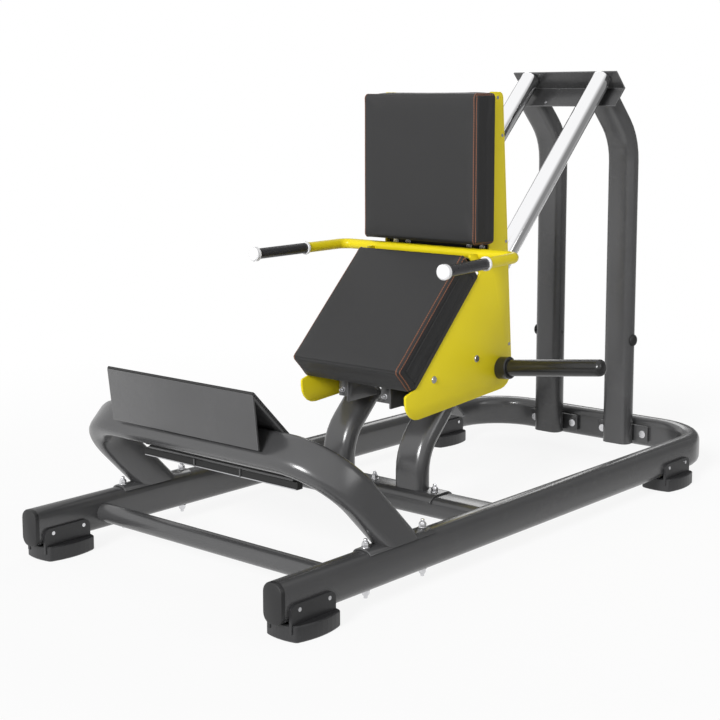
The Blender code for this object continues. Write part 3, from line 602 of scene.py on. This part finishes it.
def makeCushion(name, node, cushion):
    shrink = cushion["shrink"]
    size = Vector((cushion["width"] - 2 * shrink, cushion["length"] - 2 * shrink, cushion["depth"] - shrink))
    seam = cushion["sideSeam"]
    lines = ((), (seam - size.y / 2, size.y / 2 - seam), (size.z - seam,)) if seam else ((), (), ())
    piece = blockWithGrid(size, lines)
    markSeams(piece, size, seam)
    bpy.ops.object.select_all(action="DESELECT")
    piece.select_set(True)
    bpy.context.view_layer.objects.active = piece
    swell(piece, cushion)
    rounding = piece.modifiers.new("round", "SUBSURF")
    rounding.levels = rounding.render_levels = 2
    bpy.ops.object.modifier_apply(modifier=rounding.name)
    weights = [d.value for d in piece.data.attributes["seam"].data]
    normals = [v.normal.copy() for v in piece.data.vertices]
    for v, weight, normal in zip(piece.data.vertices, weights, normals):
        v.co -= normal * weight * coverEdge["groove"]
    for face in piece.data.polygons:
        face.use_smooth = True
    stitches = makeStitches(name + "_stitching", piece, cushion)
    piece.data.transform(cushionMatrix(cushion))
    stitches.data.transform(cushionMatrix(cushion))
    settle(piece, name, vinyl, "carriage")
    settle(stitches, name + "_stitching", thread, "carriage")
    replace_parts(piece, node)


stitchSet = {"length": 0.0066, "width": 0.0034, "height": 0.0018, "pitch": 0.0072, "start": 0.006,
             "lift": 0.0002}


def seamRoute(cushion, inset):
    # even steps from the back at the lower end, over the face, to the back at the upper end
    half = cushion["length"] / 2 - inset
    depth = cushion["depth"] - inset
    radius = max(coverEdge["radius"] - inset, 0.002)
    corners = []
    steps = 12
    for k in range(steps + 1):
        turn = math.radians(90) * k / steps
        corners.append((-half + radius * (1 - math.cos(turn)), depth - radius * (1 - math.sin(turn)),
                        -math.cos(turn), math.sin(turn)))
    other = [(-y, z, -u, w) for y, z, u, w in reversed(corners)]
    line = [(-half, stitchSet["start"], -1.0, 0.0), *corners, *other, (half, stitchSet["start"], 1.0, 0.0)]
    places, carried = [], 0.0
    for first, second in zip(line, line[1:]):
        reach = math.hypot(second[0] - first[0], second[1] - first[1])
        while carried < reach:
            share = carried / reach
            places.append([a + (b - a) * share for a, b in zip(first, second)])
            carried += stitchSet["pitch"]
        carried -= reach
    return places


def makeStitches(name, cover, cushion):
    # one stitch, repeated along each row and laid on the cover
    bpy.ops.object.select_all(action="DESELECT")
    bpy.ops.mesh.primitive_uv_sphere_add(segments=6, ring_count=4, radius=0.5)
    single = bpy.context.object
    editAll(single)
    bpy.ops.transform.rotate(value=math.radians(90), orient_axis="Y", center_override=(0, 0, 0))
    size = (stitchSet["length"], stitchSet["width"], stitchSet["height"])
    bpy.ops.transform.resize(value=size, center_override=(0, 0, 0))
    bpy.ops.object.mode_set(mode="OBJECT")
    template = [v.co.copy() for v in single.data.vertices]
    faces = [tuple(p.vertices) for p in single.data.polygons]
    bpy.data.objects.remove(single)
    surface = BVHTree.FromPolygons([v.co for v in cover.data.vertices],
                                   [tuple(p.vertices) for p in cover.data.polygons])
    points, loops = [], []
    away = 0.03  # rays reach the cover from this far outside it
    for side in (1, -1):
        for panel, inset in cushion["rows"]:
            rays = []
            for y, z, outY, outZ in seamRoute(cushion, inset if panel == "side" else 0.0):
                out = Vector((0, outY, outZ)).normalized()
                if panel == "face":
                    rays.append((Vector((side * (cushion["width"] / 2 - inset), y, z)) + out * away, -out))
                else:
                    rays.append((Vector((side * (cushion["width"] / 2 + away), y, z)), Vector((-side, 0, 0))))
            hits = [surface.ray_cast(start, ray)[:2] for start, ray in rays]
            hits = [h for h in hits if h[0] is not None]
            for i, (place, normal) in enumerate(hits):
                ahead = hits[min(i + 1, len(hits) - 1)][0] - hits[max(i - 1, 0)][0]
                ahead = (ahead - normal * ahead.dot(normal)).normalized()
                turn = Matrix((ahead, normal.cross(ahead), normal)).transposed()
                base = len(points)
                points += [place + normal * stitchSet["lift"] + turn @ p for p in template]
                loops += [tuple(base + k for k in face) for face in faces]
    mesh = bpy.data.meshes.new(name)
    mesh.from_pydata(points, [], loops)
    made = bpy.data.objects.new(name, mesh)
    bpy.context.scene.collection.objects.link(made)
    for face in mesh.polygons:
        face.use_smooth = True
    return made


makeCushion("seat_cushion", "seat_pad", seatCushion)
makeCushion("back_cushion", "back_pad", backCushion)
print("cushions made")

# Fasteners, each modelled once standing on the origin with its axis up
hexNut = {"flats": 0.0170, "height": 0.0100, "washer": 0.0115, "washerThick": 0.0018, "stub": 0.0050,
          "stubHeight": 0.0215, "chamfer": 0.0011, "collar": 0.0022, "collarInset": 0.0012,
          "collarTaper": 0.90, "stubSunk": 0.001, "stubChamfer": 0.0010}
buttonHead = {"radius": 0.0085, "height": 0.0055, "washer": 0.0105, "washerThick": 0.0016, "socket": 0.0034}
capHead = {"radius": 0.0125, "height": 0.0085, "socket": 0.0030}
smallScrew = {"radius": 0.0052, "height": 0.0026, "socket": 0.0019}
dome = {"steps": 4, "wall": 0.45, "rim": 1.3, "mouth": 0.3, "sunk": 0.6}
smallNutScale = 0.68


def cylinder(radius, height, base=0.0, sides=32):
    bpy.ops.object.select_all(action="DESELECT")
    bpy.ops.mesh.primitive_cylinder_add(vertices=sides, radius=radius, depth=height,
                                        location=(0, 0, base + height / 2))
    piece = bpy.context.object
    bpy.ops.object.transform_apply(location=True, rotation=True, scale=True)
    return piece


def insetTop(piece, top, amount):
    pickFaces(piece, lambda middle, normal: normal.z > 0.9 and middle.z > top - 0.0002)
    bpy.ops.mesh.inset(thickness=amount, depth=0)


def joined(parts, name):
    bpy.ops.object.select_all(action="DESELECT")
    for part in parts:
        part.select_set(True)
    bpy.context.view_layer.objects.active = parts[0]
    bpy.ops.object.join()
    parts[0].name = name
    bpy.ops.object.shade_smooth_by_angle(angle=math.radians(35))
    return parts[0]


def makeWasher(radius, thick):
    washer = cylinder(radius, thick)
    editAll(washer)
    pickEdges(washer, lambda middle, edge: edge.calc_face_angle(0) > 1.0)
    bpy.ops.mesh.bevel(offset=thick * 0.3, segments=2, affect="EDGES")
    bpy.ops.object.mode_set(mode="OBJECT")
    return washer


def makeHexNut():
    washer = makeWasher(hexNut["washer"], hexNut["washerThick"])
    base = hexNut["washerThick"]
    top = base + hexNut["height"]
    nut = cylinder(hexNut["flats"] / math.sqrt(3), hexNut["height"], base, 6)
    editAll(nut)
    pickEdges(nut, lambda middle, edge: edge.calc_face_angle(0) > 1.0 and middle.z > top - 0.0002)
    bpy.ops.mesh.bevel(offset=hexNut["chamfer"], segments=2, affect="EDGES")
    insetTop(nut, top, hexNut["collarInset"])
    bpy.ops.mesh.extrude_region_move(TRANSFORM_OT_translate={"value": (0, 0, hexNut["collar"])})
    taper = (hexNut["collarTaper"], hexNut["collarTaper"], 1.0)
    bpy.ops.transform.resize(value=taper, center_override=(0, 0, top))
    bpy.ops.object.mode_set(mode="OBJECT")
    foot = base + hexNut["stubSunk"]
    stub = cylinder(hexNut["stub"], hexNut["stubHeight"] - foot, foot, 24)
    editAll(stub)
    pickEdges(stub, lambda middle, edge: edge.calc_face_angle(0) > 1.0 and middle.z > top)
    bpy.ops.mesh.bevel(offset=hexNut["stubChamfer"], segments=2, affect="EDGES")
    bpy.ops.object.mode_set(mode="OBJECT")
    return joined([nut, washer, stub], "nutModel")


def domeWithSocket(shape, base=0.0):
    # a short wall, then a rounded top in rings, then a socket sunk into it
    radius, height, socket = shape["radius"], shape["height"], shape["socket"]
    head = cylinder(radius, height * dome["wall"], base)
    level = base + height * dome["wall"]
    editAll(head)
    steps = dome["steps"]
    rises = [math.sin(math.radians(90) * k / steps) for k in range(steps + 1)]
    for below, above in zip(rises, rises[1:]):
        insetTop(head, level, (radius - socket * dome["rim"]) / steps)
        lift = height * (1 - dome["wall"]) * (above - below)
        bpy.ops.transform.translate(value=(0, 0, lift))
        level += lift
    insetTop(head, level, socket * dome["mouth"])
    bpy.ops.mesh.extrude_region_move(TRANSFORM_OT_translate={"value": (0, 0, -height * dome["sunk"])})
    bpy.ops.object.mode_set(mode="OBJECT")
    return head


def makeButtonHead():
    washer = makeWasher(buttonHead["washer"], buttonHead["washerThick"])
    return joined([domeWithSocket(buttonHead, buttonHead["washerThick"]), washer], "buttonModel")


fastenerModels = {
    "nut": makeHexNut(),
    "button": makeButtonHead(),
    "screw": joined([domeWithSocket(smallScrew)], "screwModel"),
    "cap": joined([domeWithSocket(capHead)], "capModel"),
    "smallNut": makeHexNut(),
}
fastenerModels["smallNut"].data.transform(Matrix.Scale(smallNutScale, 4))


def along(axis):
    # the turn that lays a piece's Z axis along this one
    return Vector(axis).normalized().to_track_quat("Z", "Y").to_matrix().to_4x4()


def standOn(point, axis, model, turn=0.0):
    place = Matrix.Translation(point) @ along(axis) @ Matrix.Rotation(turn, 4, "Z")
    copy = bpy.data.objects.new("copy", fastenerModels[model].data.copy())
    bpy.context.scene.collection.objects.link(copy)
    copy.data.transform(place)
    return copy


slideFoot = fromFront(0, 0.6137, 0.0)
postX, plateOuter, railX = 0.1395, 0.1975, 0.450

# Guide rods with their turned, rounded ends
guideRod = {"start": 0.5123, "length": 1.2474, "radius": 0.0318, "round": 0.0085, "steps": 6}


def makeGuideRod(name, x):
    rod = cylinder(guideRod["radius"], guideRod["length"], sides=96)
    editAll(rod)
    pickEdges(rod, lambda middle, edge: edge.calc_face_angle(0) > 1.0)
    bpy.ops.mesh.bevel(offset=guideRod["round"], segments=guideRod["steps"], affect="EDGES")
    leaveEdit()
    foot = slideFoot + slideUp * guideRod["start"] + Vector((x, 0, 0))
    rod.data.transform(Matrix.Translation(foot) @ along(slideUp))
    settle(rod, name + "_ground", chrome, "base")
    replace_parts(rod, name)


makeGuideRod("guide_rod_right", postX)
makeGuideRod("guide_rod_left", -postX)
print("guide rods made")

# Ribbed rubber grips over the handlebar ends
gripSleeve = {"outer": 0.01825, "bore": 0.0158, "length": 0.190, "ribs": 38, "depth": 0.0003,
              "rounding": 0.0012, "plain": 0.0015, "plainEnd": 0.0020}
handle = {"x": 0.325, "fromFront": 1.1255, "height": 0.773, "splay": 3.8, "droop": 1.1, "reach": 0.361,
          "gap": 0.0003}


def ribSteps():
    # the sleeve's outline as distance along it and radius, with a shallow groove after each rib
    outer, length = gripSleeve["outer"], gripSleeve["length"]
    groove, rounded = outer - gripSleeve["depth"], outer - gripSleeve["rounding"]
    pitch = (length - gripSleeve["plain"] - gripSleeve["plainEnd"]) / gripSleeve["ribs"]
    steps = [(0.0, rounded), (gripSleeve["plain"], outer)]
    for k in range(gripSleeve["ribs"]):
        start = gripSleeve["plain"] + k * pitch
        steps += [(start + pitch * share, radius)
                  for share, radius in ((0.55, outer), (0.70, groove), (0.85, groove), (1.0, outer))]
    return steps + [(length, rounded), (length, gripSleeve["bore"])]


def makeGrip(name, side):
    splay, droop = math.radians(handle["splay"]), math.radians(handle["droop"])
    end = Vector((side * handle["x"], handle["fromFront"] - halfLength, handle["height"]))
    out = Vector((side * math.sin(splay), -math.cos(splay) * math.cos(droop),
                  -math.cos(splay) * math.sin(droop)))
    foot = end + out * (handle["reach"] - gripSleeve["length"] + handle["gap"])
    bpy.ops.object.select_all(action="DESELECT")
    bpy.ops.mesh.primitive_circle_add(vertices=48, radius=gripSleeve["bore"], fill_type="NOTHING")
    grip = bpy.context.object
    editAll(grip)
    at, radius = 0.0, gripSleeve["bore"]
    for distance, size in ribSteps():
        bpy.ops.mesh.extrude_region_move(TRANSFORM_OT_translate={"value": (0, 0, distance - at)})
        bpy.ops.transform.resize(value=(size / radius, size / radius, 1), center_override=(0, 0, distance))
        at, radius = distance, size
    bpy.ops.mesh.select_all(action="SELECT")
    bpy.ops.mesh.select_non_manifold()
    bpy.ops.mesh.bridge_edge_loops()
    bpy.ops.mesh.select_all(action="SELECT")
    bpy.ops.mesh.normals_make_consistent(inside=False)
    leaveEdit()
    grip.data.transform(Matrix.Translation(foot) @ along(out))
    settle(grip, name + "_ribbed", gripRubber, "carriage")
    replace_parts(grip, name)


makeGrip("grip_right", 1)
makeGrip("grip_left", -1)
print("grips made")


def makeBar(name, bar, material, body):
    # a flat bar with rounded edges, turned about X by its tilt in degrees
    bpy.ops.object.select_all(action="DESELECT")
    bpy.ops.mesh.primitive_cube_add(size=1, location=(0, 0, 0))
    piece = bpy.context.object
    editAll(piece)
    bpy.ops.transform.resize(value=bar["size"], center_override=(0, 0, 0))
    bpy.ops.mesh.bevel(offset=bar["edge"], segments=2, affect="EDGES")
    leaveEdit()
    tilt = Matrix.Rotation(math.radians(bar.get("tilt", 0.0)), 4, "X")
    piece.data.transform(Matrix.Translation(bar["middle"]) @ tilt)
    return settle(piece, name, material, body)


def onSide(bar, side, offset=0.0):
    # the same bar with its middle on one side of the machine
    return {**bar, "middle": (side * bar["middle"][0] + offset, *bar["middle"][1:])}


# Back board, the strap between the side plates that carries it, and the tabs of the seat brackets
backBoard = {"middle": (0, 0.1209, 1.0144), "size": (0.379, 0.0117, 0.424), "edge": 0.001}
backStrap = {"middle": (0, 0.1307, 0.797), "size": (0.380, 0.006, 0.138), "edge": 0.001}
bracketTab = {"middle": (0.080, -0.1910, 0.3865), "size": (0.030, 0.005, 0.051), "edge": 0.0012}
tabOffset = -0.0178
makeBar("back_strap", backStrap, trimBlack, "carriage")
for side, hand in hands:
    tab = onSide(bracketTab, side, tabOffset)
    makeBar(f"seat_bracket_tab_{hand}", tab, charcoal, "carriage")
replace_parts(makeBar("back_board_panel", backBoard, boardBlack, "carriage"), "back_board")

# Foot platform: a tread mat on the panel, a black sheet on the shelf that is painted shade, a bar along the
# shelf's edge with a bright strip along its lip that is a painted highlight, and rib ends
platformMat = {"middle": (0, -0.8023, 0.4100), "size": (0.534, 0.335, 0.007), "edge": 0.001, "tilt": 135.0}
# a black sheet on the shelf under the arch: painted shade
shelfPaintedShade = {"middle": (0, -0.7400, 0.2962), "size": (0.530, 0.094, 0.0026), "edge": 0.0005}
shelfBar = {"middle": (0, -0.7791, 0.2786), "size": (0.566, 0.020, 0.020), "edge": 0.002}
# a thin bright alloy strip along the bar's lower front edge: a painted highlight
barHighlightStrip = {"middle": (0, -0.7896, 0.2696), "size": (0.560, 0.0016, 0.0026), "edge": 0.0004}
ribEnd = {"middle": (0.085, -0.7906, 0.2796), "size": (0.005, 0.0036, 0.0200), "edge": 0.0008}
shelfBlock = {"middle": (0.2735, -0.7440, 0.3090), "size": (0.014, 0.088, 0.0240), "edge": 0.002}
makeBar("platform_mat", platformMat, treadRubber, "base")
makeBar("shelf_mat", shelfPaintedShade, trimBlack, "base")
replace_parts(makeBar("platform_bar_capped", shelfBar, trimBlack, "base"), "platform_bar")
# the bright strip that stands for the highlight along the bar's lip
makeBar("platform_bar_lip", barHighlightStrip, alloy, "base")
for side, hand in hands:
    makeBar(f"platform_rib_end_{hand}", onSide(ribEnd, side), charcoal, "base")
    makeBar(f"shelf_end_block_{hand}", onSide(shelfBlock, side), trimBlack, "base")
print("mats, straps and bars made")

# Where the fasteners stand: distances from the front, heights above the rails' underside, or X
strapBolts = {"x": (-0.1630, -0.1150, 0.1150, 0.1630), "front": 1.1792, "z": 0.7845}
tabBolt = {"x": 0.080, "offset": -0.017, "front": 0.8580, "z": 0.380}
footBolts = {"front": (0.0505, 0.1515), "rear": (1.731, 1.832), "out": 0.0383, "up": 0.033}
archNuts = {"front": (0.323, 0.543), "top": 0.1053, "under": 0.0}
flangeBolts = {"x": (-0.078, 0.078), "front": 2.0307, "up": 0.047}
bracketBolt = {"along": 1.695, "out": -0.050, "inward": 0.0686}
plateBolts = ((1.1079, 0.4308), (0.9085, 0.3979))
plateScrews = ((1.199, 1.179), (1.2237, 1.0707), (1.2478, 0.7613), (1.2697, 0.4538))
saddleNuts = {"x": (-0.22, 0.0, 0.22), "front": 0.8865, "up": 0.0853}
placed = []


def fasten(name, model, body, place, axis):
    # each one is turned a little further than the last, as hand-tightened ones are
    finish = alloy if model == "smallNut" else zinc
    settle(standOn(place, axis, model, 0.4 * len(placed)), name, finish, body)
    placed.append(name)


for number, x in enumerate(strapBolts["x"], 1):
    place = Vector((x, strapBolts["front"] - halfLength, strapBolts["z"]))
    fasten(f"back_strap_bolt_{number}", "button", "carriage", place, (0, -1, 0))
for side, hand in hands:
    place = Vector((side * tabBolt["x"] + tabBolt["offset"], tabBolt["front"] - halfLength, tabBolt["z"]))
    fasten(f"seat_bracket_bolt_{hand}", "smallNut", "carriage", place, (0, -1, 0))
for side, hand in hands:
    for end in ("front", "rear"):
        for number, y in enumerate(footBolts[end], 1):
            for face, sign in (("outer", side), ("inner", -side)):
                place = fromFront(side * railX + sign * footBolts["out"], y, footBolts["up"])
                fasten(f"foot_{end}_bolt_{face}_{number}_{hand}", "screw", "base", place, (sign, 0, 0))
    for number, y in enumerate(archNuts["front"], 1):
        for face, axis in (("top", 1), ("under", -1)):
            place = fromFront(side * railX, y, archNuts[face])
            fasten(f"arch_nut_{face}_{number}_{hand}", "nut", "base", place, (0, 0, axis))
    for number, x in enumerate(flangeBolts["x"], 1):
        place = fromFront(side * postX + x, flangeBolts["front"], flangeBolts["up"])
        fasten(f"column_flange_bolt_{number}_{hand}", "cap", "base", place, (0, -1, 0))
    inside = Vector((side * (postX - bracketBolt["inward"]), 0, 0))
    place = slideFoot + slideUp * bracketBolt["along"] + slideOut * bracketBolt["out"] + inside
    fasten(f"top_bracket_bolt_{hand}", "screw", "base", place, slideOut)
    for stem, model, rows in (("bolt", "button", plateBolts), ("screw", "screw", plateScrews)):
        for number, (y, z) in enumerate(rows, 1):
            place = fromFront(side * plateOuter, y, z)
            fasten(f"side_plate_{stem}_{number}_{hand}", model, "carriage", place, (side, 0, 0))
for number, x in enumerate(saddleNuts["x"], 1):
    place = fromFront(x, saddleNuts["front"], saddleNuts["up"])
    fasten(f"mid_saddle_nut_{number}", "nut", "base", place, (0, 0, 1))
for side, hand in hands:
    plug = nodes["column_plug_inner_" + hand]
    corners = [plug.matrix_world @ Vector(c) for c in plug.bound_box]
    face = max(c.x * side for c in corners) * side
    place = Vector((face, sum(c.y for c in corners) / 8, sum(c.z for c in corners) / 8 + plugRise))
    rivet = settle(standOn(place, (-side, 0, 0), "screw"), f"column_rivet_{hand}", rubber, "base")
    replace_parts(rivet, "column_plug_inner_" + hand)
for model in fastenerModels.values():
    bpy.data.objects.remove(model)
print("fasteners placed:", len(placed))

# Camera at the photograph's angle
cameraSet = {"place": Vector((2.6737, -3.3047, 1.2139)), "azimuth": 41.003, "elevation": 7.817,
             "roll": -0.119, "lens": 72.98, "sensor": 36.0, "shiftY": -0.0833, "sight": 400.0}
azimuth, elevation = math.radians(cameraSet["azimuth"]), math.radians(cameraSet["elevation"])
back = Vector((math.sin(azimuth) * math.cos(elevation), -math.cos(azimuth) * math.cos(elevation),
               math.sin(elevation)))
right = Vector((math.cos(azimuth), math.sin(azimuth), 0))
roll = Matrix.Rotation(math.radians(cameraSet["roll"]), 3, "Z")
turn = Matrix((right, back.cross(right), back)).transposed() @ roll
camera = bpy.data.objects.new("camera", bpy.data.cameras.new("camera"))
bpy.context.scene.collection.objects.link(camera)
camera.matrix_world = Matrix.Translation(cameraSet["place"]) @ turn.to_4x4()
camera.data.lens = cameraSet["lens"]
camera.data.sensor_width = cameraSet["sensor"]
camera.data.shift_y = cameraSet["shiftY"]
camera.data.clip_end = cameraSet["sight"]
bpy.context.scene.camera = camera

# Floor: pale, with the object's shadow, and in reflections darker toward the right
floorSet = {"size": 240, "drop": 0.0005, "pale": 0.92, "glow": 0.88, "near": 1.5, "fade": 0.08, "dusk": 0.26,
            "duskFrom": 0.47, "duskRise": 4.0, "duskShare": 0.90}
bpy.ops.object.select_all(action="DESELECT")
bpy.ops.mesh.primitive_plane_add(size=floorSet["size"], location=(0, 0, -floorSet["drop"]))
floor = bpy.context.object
floor.name = "floor"
r = newRecipe("paleFloor")
seen = r.node("LightPath", {}, {}, "Is Camera Ray")
mirrored = r.node("LightPath", {}, {}, "Is Glossy Ray")
through = r.node("LightPath", {}, {}, "Is Transmission Ray")
glow = r.node("Emission", {}, {"Color": rgb(1, 1, 1), "Strength": 1.0})
pale = floorSet["pale"]
surface = r.node("BsdfDiffuse", {}, {"Color": rgb(pale, pale, pale)})
direct = seen.atLeast(mirrored.atLeast(through))
distance = r.node("VectorMath", {"operation": "LENGTH"}, {0: r.point()}, "Value")
share = (floorSet["glow"] + (distance - floorSet["near"]).atLeast(0.0) * floorSet["fade"]).atMost(1.0)
blend = r.node("MixShader", {}, {"Fac": direct * share, 1: surface, 2: glow})
aside = r.node("SeparateXYZ", {}, {0: r.point()}, "X")
dusk = r.node("Emission", {}, {"Color": rgb(1, 1, 1), "Strength": floorSet["dusk"]})
rise = ((aside - floorSet["duskFrom"]) * floorSet["duskRise"]).atLeast(0.0).atMost(1.0)
blend = r.node("MixShader", {}, {"Fac": mirrored * rise * floorSet["duskShare"], 1: blend, 2: dusk})
r.feed(r.tree.nodes["Material Output"].inputs["Surface"], blend)
floor.data.materials.append(r.owner)

# World: pale to the camera, softer on the object, darker in reflections of the rear and the right corner
room = {"level": 0.62, "fall": 0.45, "rearRise": 4.0, "rearFrom": 1.8, "rearDark": 0.82, "aside": 0.63,
        "behind": 0.78, "cornerRise": 2.4, "cornerFrom": 1.05, "cornerDark": 0.76}
world = bpy.data.worlds.new("studio")
bpy.context.scene.world = world
r = Recipe(world)
seen = r.node("LightPath", {}, {}, "Is Camera Ray")
mirrored = r.node("LightPath", {}, {}, "Is Glossy Ray")
toward = r.node("TexCoord", {}, {}, "Generated")
aside, behind, height = [r.node("SeparateXYZ", {}, {0: toward}, axis) for axis in "XYZ"]
level = room["level"] - height.atLeast(0.0) * room["fall"]
rear = (behind * room["rearRise"] - room["rearFrom"]).atLeast(0.0).atMost(1.0)
turned = aside * room["aside"] + behind * room["behind"]
corner = (turned * room["cornerRise"] - room["cornerFrom"]).atLeast(0.0).atMost(1.0)
mirror = 1.0 - (rear * room["rearDark"] - aside.atLeast(0.0)).atLeast(corner * room["cornerDark"])
strength = seen + mirrored * mirror + (1.0 - seen - mirrored) * level
r.feed(r.tree.nodes["Background"].inputs["Color"], rgb(1, 1, 1))
r.feed(r.tree.nodes["Background"].inputs["Strength"], strength)

# Lamps
lampSet = (
    {"name": "side", "from": (4.8, 0.8, 2.2), "size": 1.8, "watts": 26.0},
    {"name": "rim", "from": (-2.2, 4.2, 2.6), "size": 2.0, "watts": 38.0},
)
keySun = {"from": (1.6, -9.2, 5.0), "angle": 20.0, "strength": 3.15}
lampTarget = Vector((0, 0, 0.45))


def addLamp(name, kind, place, energy):
    light = bpy.data.objects.new(name, bpy.data.lights.new(name, kind))
    bpy.context.scene.collection.objects.link(light)
    light.data.energy = energy
    light.location = place
    light.rotation_mode = "QUATERNION"
    light.rotation_quaternion = (lampTarget - Vector(place)).to_track_quat("-Z", "Y")
    return light


addLamp("key", "SUN", keySun["from"], keySun["strength"]).data.angle = math.radians(keySun["angle"])
for lamp in lampSet:
    addLamp(lamp["name"], "AREA", lamp["from"], lamp["watts"]).data.size = lamp["size"]
bpy.context.scene.view_settings.view_transform = "Standard"
print("camera and light set")
